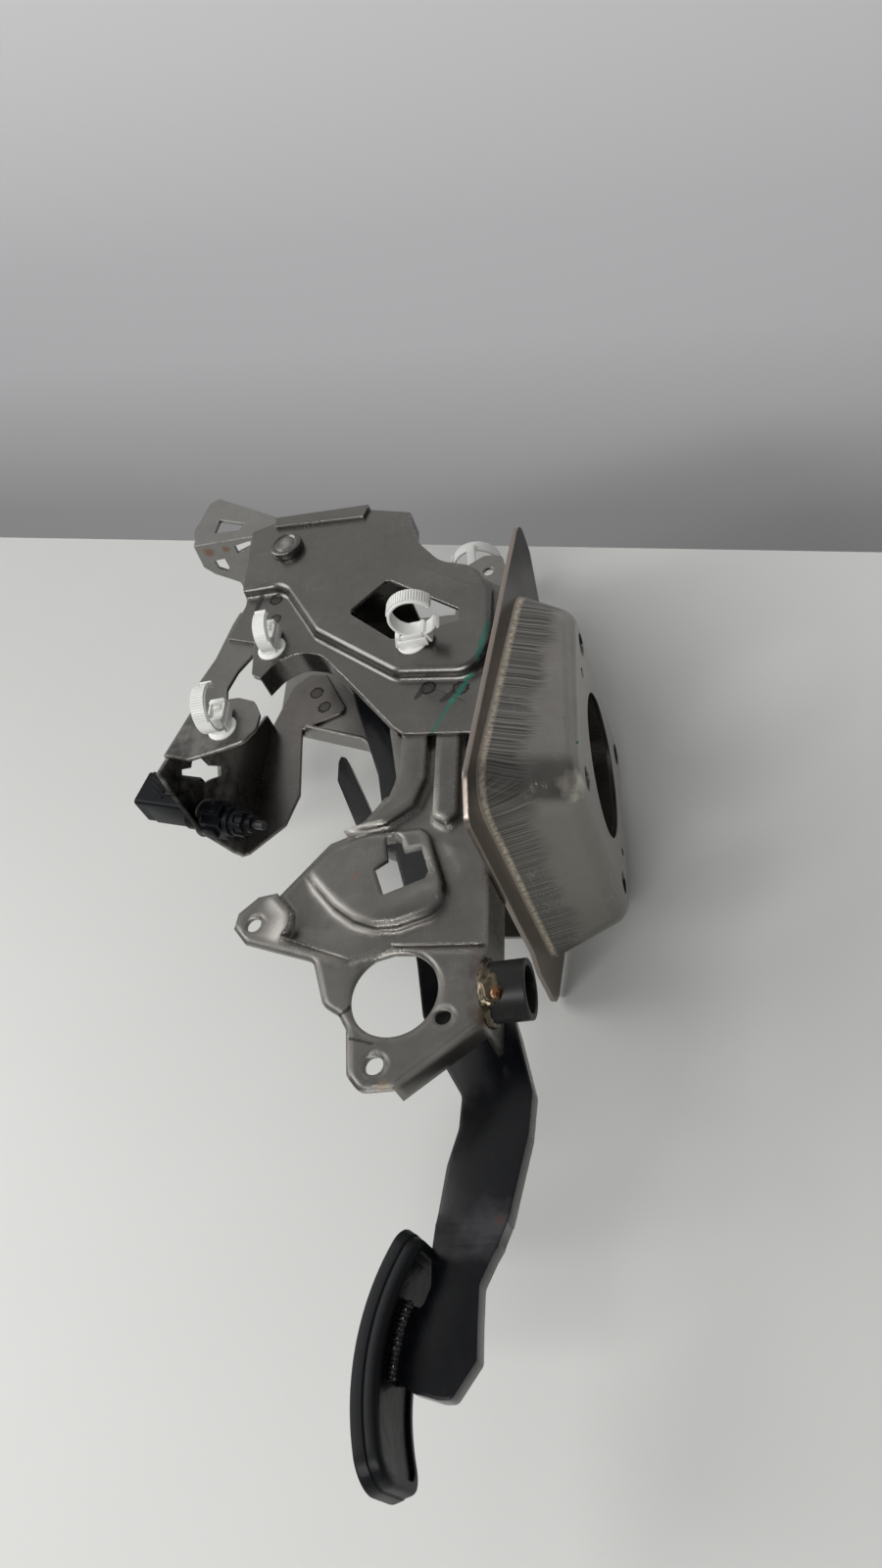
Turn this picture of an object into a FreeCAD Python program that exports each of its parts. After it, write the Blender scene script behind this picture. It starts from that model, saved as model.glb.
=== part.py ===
import FreeCAD, Part
import math
import os
import operator

import Sketcher
from FreeCAD import Placement, Rotation, Vector

# Brake pedal assembly with its firewall dish, bracket plates, arm, pad and stop-lamp switch.
# Frame: X points forward through the firewall, Y to the left of the car, Z up.
# The origin is the centre of the large dish hole, on the face that seats on the firewall.

doc = FreeCAD.newDocument("BrakePedal")
sheet = doc.addObject("Spreadsheet::Sheet", "Sizes")

# Driving sizes in millimetres and degrees: name, value, meaning
driving = [
    ("sheet", 2, "thickness of the pressed plates"),
    ("fit_gap", 0.3, "gap between pieces that lie close"),
    ("run_gap", 0.08, "running gap between a shaft and its hole"),
    ("dish_wall", 2.2, "thickness of the drawn dish"),
    ("dish_depth", 30.4, "depth of the dish at its centre line"),
    ("dish_tilt", 8.53, "angle of the flange from upright"),
    ("flange_half", 82.5, "half width of the flange"),
    ("flange_top", 71, "flange above the centre"),
    ("flange_bottom", 74, "flange below the centre"),
    ("ear_reach", 11, "reach of the upper corner ear past the flange"),
    ("low_ear_reach", 3, "reach of the lower corner ear past the flange"),
    ("side_angle", 24.7, "angle of the side walls from the axis"),
    ("top_angle", 17.9, "angle of the upper wall from the axis"),
    ("bottom_angle", 10, "angle of the lower wall from the axis"),
    ("face_half", 58, "half width of the dish wall at the mating face"),
    ("face_top", 52, "upper wall at the mating face"),
    ("face_bottom", 55, "lower wall at the mating face"),
    ("face_round", 10, "outer radius round the mating face"),
    ("wall_round", 20, "outer radius of the upright wall corners"),
    ("centre_bore", 33.8, "radius of the large dish hole"),
    ("stud_half_width", 41, "half of the stud spacing across"),
    ("stud_half_height", 38, "half of the stud spacing up and down"),
    ("stud_radius", 5.5, "radius of a stud hole"),
    ("locating_across", 42, "locating hole to one side"),
    ("locating_up", 20, "locating hole up or down"),
    ("locating_radius", 2.5, "radius of a locating hole"),
    ("right_gap", 40, "inner face of the right plate from the middle"),
    ("swage", 6, "height of the pressed field on the right plate"),
    ("swage_round", 12, "corner radius of the pressed field"),
    ("swage_rim", 3.4, "radius along the rim of the pressed field"),
    ("left_gap", 36, "inner face of the left plate from the middle"),
    ("pivot_x", -154, "pivot behind the mating face"),
    ("pivot_z", 141, "pivot above the centre"),
    ("pin_radius", 6, "shank of the pivot pin"),
    ("pin_head_radius", 8.9, "head of the pivot pin"),
    ("pin_head_height", 4.5, "height of the pin head"),
    ("tube_radius", 13, "outside of the pivot tube"),
    ("bush_wall", 2.4, "wall of a pivot bush"),
    ("bush_flange", 2.5, "thickness of a bush flange"),
    ("bush_length", 14, "length of a bush in the tube"),
    ("nut_flats", 18, "width of the pivot nut across its flats"),
    ("nut_height", 8, "height of the pivot nut"),
    ("plate_top", 165, "rear upper corner of the right plate"),
    ("plate_rear", -178, "rear edge of the right plate"),
    ("lower_step", 5, "height of the beads and the lobe on the lower plate"),
    ("bore_x", -80.5, "big round hole of the lower plate"),
    ("bore_z", -125, "big round hole of the lower plate, height"),
    ("bore_radius", 18.2, "radius of the big round hole"),
    ("ear_x", -146, "rear ear hole of the lower plate"),
    ("ear_z", -85, "rear ear hole of the lower plate, height"),
    ("ear_hole", 3.45, "radius of the rear ear hole"),
    ("low_x", -86.5, "lowest hole of the lower plate"),
    ("low_z", -154, "lowest hole of the lower plate, height"),
    ("low_hole", 3.8, "radius of the lowest hole"),
    ("side_hole", 3.3, "radius of the hole beside the big one"),
    ("front_fold", -43.8, "front face of the folded edge"),
    ("fold_depth", 26, "width of the folded front edge"),
    ("rim_depth", 9, "width of the folded lower edge"),
    ("collar_radius", 11.85, "outside of the collar tube"),
    ("collar_wall", 2.6, "wall of the collar tube"),
    ("collar_length", 17, "length of the collar tube"),
    ("collar_y", -33, "collar tube to the right of the middle"),
    ("collar_z", -127, "collar tube height"),
    ("arm_thickness", 9, "thickness of the pedal arm"),
    ("arm_ring", 20, "radius of the arm round the pivot tube"),
    ("clevis_x", -90, "pushrod pin hole in the arm"),
    ("clevis_radius", 4.1, "radius of the pushrod pin hole"),
    ("joggle", -4, "sideways set of the arm behind the pad"),
    ("pad_centre_x", -1.6, "centre of the pad curve"),
    ("pad_centre_z", -259, "centre of the pad curve, height"),
    ("pad_curve", 90, "radius of the pad face"),
    ("pad_upper", 146, "angle of the upper pad edge"),
    ("pad_lower", 201, "angle of the lower pad edge"),
    ("pad_half", 19.75, "half width of the pad cover"),
    ("pad_middle", -4.75, "middle of the pad across the car"),
    ("low_step", 2.5, "step of the ear and the lower area of the lower plate"),
    ("high_x", -67.4, "ear hole of the left plate"),
    ("high_z", 186.4, "ear hole of the left plate, height"),
    ("high_hole", 3.2, "radius of the ear hole of the left plate"),
    ("web_rise", 2.2, "top of the web above the corner of the right plate"),
    ("brace_gap", 34, "inner face of the brace from the middle"),
    ("switch_x", -204.7, "switch hole centre"),
    ("switch_z", 7.4, "switch hole centre, height"),
    ("switch_angle", 108.1, "angle of the switch axis from upright"),
    ("switch_hole", 7.2, "radius of the switch hole"),
    ("block_wide", 13, "width of the switch block"),
    ("block_tall", 15, "height of the switch block"),
    ("barrel_radius", 6, "radius of the switch barrel"),
    ("nose_radius", 4.5, "radius of the switch nose"),
    ("plunger_radius", 2.3, "radius of the switch plunger"),
    ("plunger_reach", 37, "plunger tip from the switch hole"),
    ("plug_wide", 18, "width of the switch connector"),
    ("plug_tall", 20, "height of the switch connector"),
    ("plug_long", 33, "length of the switch connector"),
    ("clip_disc", 7.5, "radius of a clip disc"),
    ("clip_ring", 11.6, "outer radius of a clip ring"),
    ("wide_ring", 15, "outer radius of the clip ring on the ear"),
    ("clip_wall", 1.8, "thickness of a clip ring"),
    ("clip_width", 8, "width of a clip ring"),
    ("rubber_face", 5, "rubber over the pad plate"),
    ("rubber_rim", 3, "rubber round the pad plate"),
    ("pad_plate", 3, "thickness of the pad plate"),
    ("pad_corner", 11, "corner radius of the pad cover at its lower end"),
    ("pad_upper_corner", 5, "corner radius of the pad cover at its upper end"),
]

values = {name: float(value) for name, value, meaning in driving}
for row, (name, value, meaning) in enumerate(driving, start=1):
    sheet.set("A%d" % row, meaning)
    sheet.set("B%d" % row, str(value))
    sheet.setAlias("B%d" % row, name)
doc.recompute()


class Size:
    # A number together with the sheet expression that gives it
    def __init__(self, value, text):
        self.value = float(value)
        self.text = text

    def __add__(self, other):
        return joined(self, "+", operator.add, other)

    def __radd__(self, other):
        return joined(other, "+", operator.add, self)

    def __sub__(self, other):
        return joined(self, "-", operator.sub, other)

    def __rsub__(self, other):
        return joined(other, "-", operator.sub, self)

    def __mul__(self, other):
        return joined(self, "*", operator.mul, other)

    def __rmul__(self, other):
        return joined(other, "*", operator.mul, self)

    def __truediv__(self, other):
        return joined(self, "/", operator.truediv, other)

    def __neg__(self):
        return joined(-1, "*", operator.mul, self)


def as_size(number):
    if isinstance(number, Size):
        return number
    return Size(number, "%.4f" % number if number >= 0 else "(%.4f)" % number)


def joined(first, sign, operation, second):
    first = as_size(first)
    second = as_size(second)
    return Size(operation(first.value, second.value), "(%s %s %s)" % (first.text, sign, second.text))


def cosine(angle):
    angle = as_size(angle)
    return Size(math.cos(math.radians(angle.value)), "cos(%s * 1 deg)" % angle.text)


def sine(angle):
    angle = as_size(angle)
    return Size(math.sin(math.radians(angle.value)), "sin(%s * 1 deg)" % angle.text)


def tangent(angle):
    return sine(angle) / cosine(angle)


class Cells:
    # Reads a driving size by its name
    def __getattr__(self, name):
        return Size(values[name], "Sizes.%s" % name)


s = Cells()


def bind(thing, path, size):
    thing.setExpression(path, as_size(size).text)


def new_body(name):
    body = doc.addObject("PartDesign::Body", name)
    body.Label = name
    return body


def origin_plane(body, role):
    return next(plane for plane in body.Origin.OriginFeatures if plane.Role == role)


def sketch_on(body, role, offset=0, across=0, up=0, turn=None):
    # A sketch on one of the body's own planes, moved along its normal and turned about an axis
    sketch = body.newObject("Sketcher::SketchObject", body.Label + "_sketch")
    sketch.AttachmentSupport = [(origin_plane(body, role), "")]
    sketch.MapMode = "FlatFace"
    if turn:
        axis, angle = turn
        sketch.AttachmentOffset = Placement(Vector(), Rotation(axis, as_size(angle).value))
        bind(sketch, "AttachmentOffset.Rotation.Angle", angle)
    bind(sketch, "AttachmentOffset.Base.x", across)
    bind(sketch, "AttachmentOffset.Base.y", up)
    bind(sketch, "AttachmentOffset.Base.z", offset)
    return sketch


def fix_point(sketch, geometry, point, x, y):
    for kind, size in (("DistanceX", as_size(x)), ("DistanceY", as_size(y))):
        index = sketch.addConstraint(Sketcher.Constraint(kind, -1, 1, geometry, point, size.value))
        sketch.setExpression("Constraints[%d]" % index, size.text)


def polygon(sketch, corners):
    first = sketch.GeometryCount
    points = [Vector(as_size(x).value, as_size(y).value, 0) for x, y in corners]
    count = len(points)
    lines = [Part.LineSegment(points[i], points[(i + 1) % count]) for i in range(count)]
    sketch.addGeometry(lines, False)
    for i in range(count):
        sketch.addConstraint(Sketcher.Constraint("Coincident", first + i, 2, first + (i + 1) % count, 1))
    for i, (x, y) in enumerate(corners):
        fix_point(sketch, first + i, 1, x, y)


def circle(sketch, x, y, radius):
    centre = Vector(as_size(x).value, as_size(y).value, 0)
    index = sketch.addGeometry(Part.Circle(centre, Vector(0, 0, 1), as_size(radius).value), False)
    fix_point(sketch, index, 3, x, y)
    constraint = sketch.addConstraint(Sketcher.Constraint("Radius", index, as_size(radius).value))
    sketch.setExpression("Constraints[%d]" % constraint, as_size(radius).text)


def arc_band(sketch, x, y, outer, inner, start, end):
    # A band between two arcs about one centre, from one angle to another
    centre = Vector(as_size(x).value, as_size(y).value, 0)
    angles = [math.radians(as_size(angle).value) for angle in (start, end)]
    arcs = []
    for radius in (outer, inner):
        ring = Part.Circle(centre, Vector(0, 0, 1), as_size(radius).value)
        arcs.append(sketch.addGeometry(Part.ArcOfCircle(ring, angles[0], angles[1]), False))
    for arc, radius in zip(arcs, (outer, inner)):
        for point, angle in ((1, start), (2, end)):
            fix_point(sketch, arc, point, x + radius * cosine(angle), y + radius * sine(angle))
        index = sketch.addConstraint(Sketcher.Constraint("Radius", arc, as_size(radius).value))
        sketch.setExpression("Constraints[%d]" % index, as_size(radius).text)
    for point in (1, 2):
        ends = [sketch.getPoint(arc, point) for arc in arcs]
        side = sketch.addGeometry(Part.LineSegment(ends[0], ends[1]), False)
        sketch.addConstraint(Sketcher.Constraint("Coincident", arcs[0], point, side, 1))
        sketch.addConstraint(Sketcher.Constraint("Coincident", arcs[1], point, side, 2))


def feature(body, kind, sketch, length=None, backwards=False, taper=None, both=False):
    made = body.newObject("PartDesign::" + kind, body.Label + "_" + kind.lower())
    made.Profile = sketch
    if length is not None:
        bind(made, "Length", length)
    made.Reversed = backwards
    if both:
        made.Midplane = True
    if taper is not None:
        bind(made, "TaperAngle", taper)
    body.Tip = made
    return made


def pad(body, sketch, length, **options):
    return feature(body, "Pad", sketch, length, **options)


def pocket(body, sketch, length, **options):
    return feature(body, "Pocket", sketch, length, **options)


def round_edges(body, radius, chosen):
    doc.recompute()
    base = body.Tip
    names = ["Edge%d" % (i + 1) for i, edge in enumerate(base.Shape.Edges) if chosen(edge)]
    made = body.newObject("PartDesign::Fillet", body.Label + "_fillet")
    made.Base = (base, names)
    bind(made, "Radius", radius)
    body.Tip = made
    return made


def middle(edge):
    return edge.valueAt((edge.FirstParameter + edge.LastParameter) / 2)


def is_line_along(edge, axis):
    if not isinstance(edge.Curve, Part.Line):
        return False
    return abs(abs(edge.Curve.Direction * axis) - 1) < 1e-4


def corners_near(corners, axis=Vector(0, 1, 0), reach=0.6):
    # Chooses the edges along an axis that pass through the given corners of an XZ outline
    spots = [Vector(as_size(x).value, 0, as_size(z).value) for x, z in corners]

    def chosen(edge):
        if not is_line_along(edge, axis):
            return False
        spot = middle(edge)
        spot.y = 0
        return any(spot.distanceToPoint(corner) < reach for corner in spots)

    return chosen


def off_segment(spot, first, second):
    along = second - first
    share = max(0, min(1, (spot - first) * along / (along * along)))
    return spot.distanceToPoint(first + along * share)


def rim_at(level, path):
    # Chooses the edges at one level across the car that follow a path of XZ corners
    spots = [Vector(as_size(x).value, 0, as_size(z).value) for x, z in path]
    level = as_size(level).value

    def chosen(edge):
        box = edge.BoundBox
        if abs(box.YMin - level) > 0.01 or abs(box.YMax - level) > 0.01:
            return False
        spot = middle(edge)
        spot.y = 0
        reach = 0.4 if isinstance(edge.Curve, Part.Line) else 4
        return min(off_segment(spot, *ends) for ends in zip(spots, spots[1:])) < reach

    return chosen


def flange_back(height):
    # Rear face of the leaning dish flange at a height, less a running gap
    back = s.dish_depth + s.dish_wall / cosine(s.dish_tilt) + s.run_gap
    return height * tangent(s.dish_tilt) - back


def arc_corner(sketch, x, y, radius, start):
    # A quarter arc about a centre, from a start angle to 90 degrees more
    ring = Part.Circle(Vector(as_size(x).value, as_size(y).value, 0), Vector(0, 0, 1), as_size(radius).value)
    arc = sketch.addGeometry(Part.ArcOfCircle(ring, math.radians(start), math.radians(start + 90)), False)
    for point, angle in ((1, start), (2, start + 90)):
        ahead = round(math.cos(math.radians(angle)))
        above = round(math.sin(math.radians(angle)))
        fix_point(sketch, arc, point, x + radius * ahead, y + radius * above)
    index = sketch.addConstraint(Sketcher.Constraint("Radius", arc, as_size(radius).value))
    sketch.setExpression("Constraints[%d]" % index, as_size(radius).text)
    return arc


def rounded_box(sketch, left, right, bottom, top, radius):
    arcs = [
        arc_corner(sketch, right - radius, top - radius, radius, 0),
        arc_corner(sketch, left + radius, top - radius, radius, 90),
        arc_corner(sketch, left + radius, bottom + radius, radius, 180),
        arc_corner(sketch, right - radius, bottom + radius, radius, 270),
    ]
    for this, following in zip(arcs, arcs[1:] + arcs[:1]):
        ends = sketch.getPoint(this, 2), sketch.getPoint(following, 1)
        side = sketch.addGeometry(Part.LineSegment(*ends), False)
        sketch.addConstraint(Sketcher.Constraint("Coincident", this, 2, side, 1))
        sketch.addConstraint(Sketcher.Constraint("Coincident", following, 1, side, 2))


across_axis = Vector(0, 1, 0)
sketch_x = Vector(1, 0, 0)


def dish_reach(depth, inset):
    # Half width, upper and lower reach of the sloping walls at a depth behind the mating face
    walls = ((s.face_half, s.side_angle), (s.face_top, s.top_angle), (s.face_bottom, s.bottom_angle))
    return [reach + depth * tangent(angle) - as_size(inset) / cosine(angle) for reach, angle in walls]


def dish_block(body, front, inset):
    # Block that starts behind the mating face, with sloping walls and rounded corners
    front = as_size(front)
    deep = s.dish_depth * 2
    wide = s.flange_half * 2
    plan = sketch_on(body, "XY_Plane")
    narrow = dish_reach(front, inset)[0]
    broad = dish_reach(deep, inset)[0]
    polygon(plan, [(-front, -narrow), (-front, narrow), (-deep, broad), (-deep, -broad)])
    pad(body, plan, wide * 2, both=True)
    for wall, turn in ((1, 1), (2, -1)):
        near = dish_reach(front - 2, inset)[wall]
        far = dish_reach(deep + 2, inset)[wall]
        trim = sketch_on(body, "XZ_Plane")
        polygon(trim, [(2 - front, turn * near), (-2 - deep, turn * far), (-2 - deep, turn * wide * 1.5),
                       (2 - front, turn * wide * 1.5)])
        pocket(body, trim, wide * 2, both=True)
    round_edges(body, s.wall_round - inset, dish_corners(inset))


def dish_corners(inset):
    # Chooses the four slanted corner edges of the walls
    def chosen(edge):
        spots = [vertex.Point for vertex in edge.Vertexes]
        if len(spots) < 2 or abs(spots[0].x - spots[1].x) < 5:
            return False
        for spot in spots:
            side, top, bottom = [size.value for size in dish_reach(-1 * spot.x, inset)]
            if abs(abs(spot.y) - side) > 0.05 or min(abs(spot.z - top), abs(spot.z + bottom)) > 0.05:
                return False
        return True

    return chosen


def cut_with(body, core):
    hollow = body.newObject("PartDesign::Boolean", body.Label + "_hollow")
    hollow.Type = "Cut"
    hollow.setObjects([core])
    body.Tip = hollow


def firewall_dish():
    # Deep-drawn square dish: flange, sloping walls and a flat mating face
    body = new_body("firewall_dish")
    lean = (sketch_x, s.dish_tilt)
    slope = cosine(s.dish_tilt)
    wall = s.dish_wall
    dish_block(body, 0, 0)
    behind = sketch_on(body, "YZ_Plane", -s.dish_depth - wall / 2, turn=lean)
    wide = s.flange_half * 2
    polygon(behind, [(-wide, -wide), (wide, -wide), (wide, wide), (-wide, wide)])
    pocket(body, behind, s.dish_depth * 3)
    round_edges(body, s.face_round, lambda edge: edge.BoundBox.XMin > -0.01)
    flange = sketch_on(body, "YZ_Plane", -s.dish_depth, turn=lean)
    half = s.flange_half
    top = s.flange_top / slope
    bottom = -s.flange_bottom / slope
    polygon(flange, [
        (-half, bottom + 16), (12 - half, bottom), (half - 48, bottom), (half - 34, bottom - s.low_ear_reach),
        (half, bottom - s.low_ear_reach), (half, top - 16), (half - 12, top), (48 - half, top),
        (20 - half, top + s.ear_reach), (-half, top + s.ear_reach),
    ])
    pad(body, flange, wall, backwards=True)
    along_lean = Vector(slope.value, 0, -sine(s.dish_tilt).value)
    round_edges(body, 7.5, lambda edge: is_line_along(edge, along_lean) and edge.Length < wall.value + 0.01)
    core = new_body("dish_core")
    dish_block(core, wall, wall)
    round_edges(core, s.face_round - wall, lambda edge: edge.BoundBox.XMin > -0.01 - wall.value)
    cut_with(body, core)
    holes = sketch_on(body, "YZ_Plane")
    circle(holes, 0, 0, s.centre_bore)
    for side in (-1, 1):
        for rise in (-1, 1):
            circle(holes, side * s.stud_half_width, rise * s.stud_half_height, s.stud_radius)
        circle(holes, side * s.locating_across, -side * s.locating_up, s.locating_radius)
    pocket(body, holes, wall + 4)
    return body


def loft(body, kind, first, second):
    made = body.newObject("PartDesign::" + kind, body.Label + "_" + kind.lower())
    made.Profile = first
    made.Sections = [second]
    body.Tip = made
    return made


def right_side_plate():
    # Upper right plate: one pressed sheet with a raised field, a diamond hole and turned-in edges
    body = new_body("right_side_plate")
    rear = s.plate_rear
    top = s.plate_top
    web = s.web_rise - s.sheet
    outline = [
        (rear, top - 3), (rear + 14, top + web), (rear + 69, top + web - 6.8), (rear + 92.6, top - 16.3),
        (rear + 93.1, top - 25.2), (rear + 98.8, top - 42.3), (rear + 110.2, top - 58.9),
        (rear + 124.2, top - 65.5), (rear + 141.2, top - 79.8), (flange_back(top - 92), top - 92),
        (flange_back(top - 171), top - 171), (rear + 95, top - 162), (rear + 90, top - 157),
        (rear + 62, top - 119), (rear + 49, top - 102), (rear + 36, top - 97), (rear + 24, top - 101),
        (rear + 17, top - 110), (rear + 12, top - 107), (rear + 10, top - 84), (rear - 6, top - 77),
        (rear + 1, top - 55),
    ]
    wall = s.sheet
    thick = wall + s.swage
    blank = sketch_on(body, "XZ_Plane", s.right_gap)
    polygon(blank, outline)
    pad(body, blank, thick)
    field = [
        (rear - 20, top - 48), (rear + 24, top - 51), (rear + 46, top - 90), (rear + 90, top - 128),
        (rear + 128, top - 136), (rear + 137, top - 121), (rear + 137, top - 84), (rear + 90, top + 20),
        (rear - 20, top + 20),
    ]
    around = [(rear - 30, top - 190), (rear + 180, top - 190), (rear + 180, top + 30), (rear - 30, top + 30)]
    outside = sketch_on(body, "XZ_Plane", s.right_gap + wall)
    polygon(outside, around)
    polygon(outside, field)
    pocket(body, outside, s.swage + 1, backwards=True)
    inside = sketch_on(body, "XZ_Plane", s.right_gap)
    hollow = [
        (rear - 20, top - 48 + wall), (rear + 24 + 0.6 * wall, top - 51 + wall),
        (rear + 46 + 0.8 * wall, top - 90 + wall), (rear + 90 + 0.4 * wall, top - 128 + wall),
        (rear + 128 - 0.6 * wall, top - 136 + wall), (rear + 137 - wall, top - 121),
        (rear + 137 - wall, top - 84), (rear + 90 - wall, top + 20), (rear - 20, top + 20),
    ]
    polygon(inside, hollow)
    pocket(body, inside, s.swage, backwards=True)
    arch = outline[13:18]
    lining = moved(arch, [(1.6, 1.2), (1.2, 2), (0, 2.2), (-1.6, 2), (-1.6, 2.4)])
    flange = sketch_on(body, "XZ_Plane", s.right_gap + wall / 2)
    polygon(flange, arch + lining[::-1])
    pad(body, flange, 12 + wall / 2, backwards=True)
    slant = sketch_on(body, "XZ_Plane", s.right_gap + wall / 2)
    polygon(slant, [outline[12], outline[13], lining[0], *moved([outline[12]], [(1.6, 1.2)])])
    pad(body, slant, 5 + wall / 2, backwards=True)
    brow = outline[3:8]
    brow_lining = moved(brow, [(-2, -0.1), (-2, -0.4), (-1.8, -0.9), (-1.3, -1.53), (-0.85, -1.8)])
    front = sketch_on(body, "XZ_Plane", s.right_gap + s.swage + wall / 2)
    polygon(front, brow + brow_lining[::-1])
    pad(body, front, 12 + wall / 2, backwards=True)
    round_edges(body, 20, corners_near(brow[1:4]))
    round_edges(body, 22, corners_near(brow_lining[1:4]))
    round_edges(body, 14, corners_near(arch[1:4]))
    round_edges(body, 16, corners_near(lining[1:4]))
    round_edges(body, 4, corners_near([outline[i] for i in (11, 18)]))
    round_edges(body, s.swage_round, corners_near(field[1:6]))
    round_edges(body, s.swage_round - wall, corners_near(hollow[1:6]))
    round_edges(body, s.swage_rim, rim_at(-s.right_gap - thick, field[:8]))
    round_edges(body, 2.5, rim_at(-s.right_gap - wall, field[:8]))
    holes = sketch_on(body, "XZ_Plane", s.right_gap)
    diamond = [(rear + 63, top - 82), (rear + 83, top - 64), (rear + 121, top - 95), (rear + 121, top - 103),
               (rear + 88, top - 107)]
    polygon(holes, diamond)
    circle(holes, s.pivot_x, s.pivot_z, s.pin_radius)
    pocket(body, holes, thick + 1, backwards=True)
    round_edges(body, 3, corners_near([diamond[i] for i in (0, 1, 4)]))
    return body


def moved(corners, shifts):
    return [(x + dx, z + dz) for (x, z), (dx, dz) in zip(corners, shifts)]


def lower_outline():
    fold = s.front_fold
    return [
        (fold - 49.4, 38), (fold - 48.4, 12), (fold - 43.4, -16), (fold - 46.4, -31), (fold - 55, -42),
        (fold - 72, -47.3), (fold - 83, -59.4), (fold - 93.4, -70.7), (s.ear_x + 0.5, s.ear_z + 13.5),
        (s.ear_x - 8, s.ear_z + 6.5), (s.ear_x - 9, s.ear_z - 1), (s.ear_x - 3, s.ear_z - 8.5),
        (fold - 72.6, -106.1), (fold - 66.2, -126.8), (fold - 59.1, -131.7), (fold - 55.4, -138.3),
        (s.low_x - 10.8, s.low_z - 3.2), (s.low_x - 5.4, s.low_z - 10), (s.low_x + 8.5, s.low_z - 10.2),
        (fold, -141), (fold, -60), (flange_back(-s.right_gap), -s.right_gap), (flange_back(38), 38),
    ]


def right_lower_plate():
    # Lower right plate: stepped sheet with two beads, a lobe with its T-slot, an ear and a folded edge
    body = new_body("right_lower_plate")
    inner = s.right_gap - s.lower_step - s.sheet
    outline = lower_outline()
    blank = sketch_on(body, "XZ_Plane", inner)
    polygon(blank, outline)
    pad(body, blank, s.sheet + s.lower_step)
    round_edges(body, 6, corners_near([outline[i] for i in (2, 3, 4, 12, 13, 16, 17, 18)]))
    lobe = [(-124, -63), (-119.8, -69.6), (-109.8, -82), (-100.4, -90), (-90.6, -94.4), (-81.2, -95.1),
            (-67.1, -91.5), (-61.7, -86.7), (-61.5, -77.5), (-68.9, -52.3), (-72.3, -48.6), (-97.5, -47.9),
            (-112, -52)]
    first = [(-84, 45), (-72, 45), (-72, -22), (-77, -36), (-90, -43.5), (-108, -45), (-100, -33), (-88, -30),
             (-84, -18)]
    second = [(-67.5, 45), (-56.5, 45), (-56.5, -44), (-62, -48), (-67.5, -44)]
    low = [(-137, -70.7), (-129, -80.9), (-128.6, -87.9), (-131.8, -93.3), (-100.8, -107.5), (-94.7, -106.1),
           (-82.4, -103.8), (-38, -108.7), (-38, -180), (-170, -180), (-170, -60)]
    outside = sketch_on(body, "XZ_Plane", s.right_gap - s.lower_step)
    frame = [(-200, -190), (0, -190), (0, 60), (-200, 60)]
    polygon(outside, frame)
    for shape in (lobe, first, second, low):
        polygon(outside, shape)
    pocket(body, outside, s.lower_step + 1, backwards=True)
    level = sketch_on(body, "XZ_Plane", s.right_gap - s.lower_step + s.low_step)
    polygon(level, [(x - 0.01, z) for x, z in low])
    pocket(body, level, s.lower_step, backwards=True)
    inside = sketch_on(body, "XZ_Plane", inner)
    polygon(inside, [(-118, -66), (-108, -80), (-99.5, -87.5), (-90.2, -92), (-81.2, -92.8), (-68.1, -89.6),
                     (-64, -85.5), (-63.8, -78), (-70.6, -53.6), (-73.5, -51), (-97.5, -50.3), (-110, -54)])
    polygon(inside, [(-82, 45), (-74, 45), (-74, -22), (-79, -34), (-90, -41), (-98, -41.5), (-97, -35.5),
                     (-87, -32), (-82, -18)])
    polygon(inside, [(-65.5, 45), (-58.5, 45), (-58.5, -43), (-62, -45.5), (-65.5, -43)])
    pocket(body, inside, s.lower_step, backwards=True)
    hollow = sketch_on(body, "XZ_Plane", inner)
    polygon(hollow, [(-139, -72), (-131, -81), (-130.6, -88.5), (-133.5, -95), (-100.8, -109.8),
                     (-94.7, -108.4), (-82.4, -106), (-45.6, -110.8), (-45.6, -180), (-170, -180), (-170, -60)])
    pocket(body, hollow, s.low_step, backwards=True)
    for shape, crest, foot in ((lobe + lobe[:1], 2.4, 1.6), (second, 1.6, 1.2)):
        round_edges(body, crest, rim_at(-s.right_gap, shape))
        round_edges(body, foot, rim_at(s.lower_step - s.right_gap, shape))
    holes = sketch_on(body, "XZ_Plane", inner)
    circle(holes, s.bore_x, s.bore_z, s.bore_radius)
    circle(holes, s.ear_x, s.ear_z, s.ear_hole)
    circle(holes, s.low_x, s.low_z, s.low_hole)
    circle(holes, s.bore_x + 20.5, s.bore_z - 12, s.side_hole)
    polygon(holes, [(-88.4, -51.4), (-84.7, -50.2), (-81.2, -53.9), (-79.2, -60.4), (-71.7, -59.8),
                    (-68, -71.8), (-69.4, -75.1), (-87.4, -80.5), (-92.2, -66.7), (-86.5, -63.4)])
    pocket(body, holes, s.sheet + s.lower_step + 1, backwards=True)
    fold = sketch_on(body, "XZ_Plane", s.right_gap - s.lower_step)
    polygon(fold, [(s.front_fold - s.sheet, -62), (s.front_fold, -62), (s.front_fold, -141),
                   (s.front_fold - s.sheet, -142.3)])
    pad(body, fold, s.fold_depth, backwards=True)
    rim = sketch_on(body, "XZ_Plane", s.right_gap - s.lower_step + s.low_step)
    polygon(rim, [(s.low_x + 8.5, s.low_z - 10.2), (s.front_fold, -141), (s.front_fold - 0.8, -138.8),
                  (s.low_x + 7.7, s.low_z - 7.9)])
    pad(body, rim, s.rim_depth + s.low_step, backwards=True)
    return body


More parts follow.
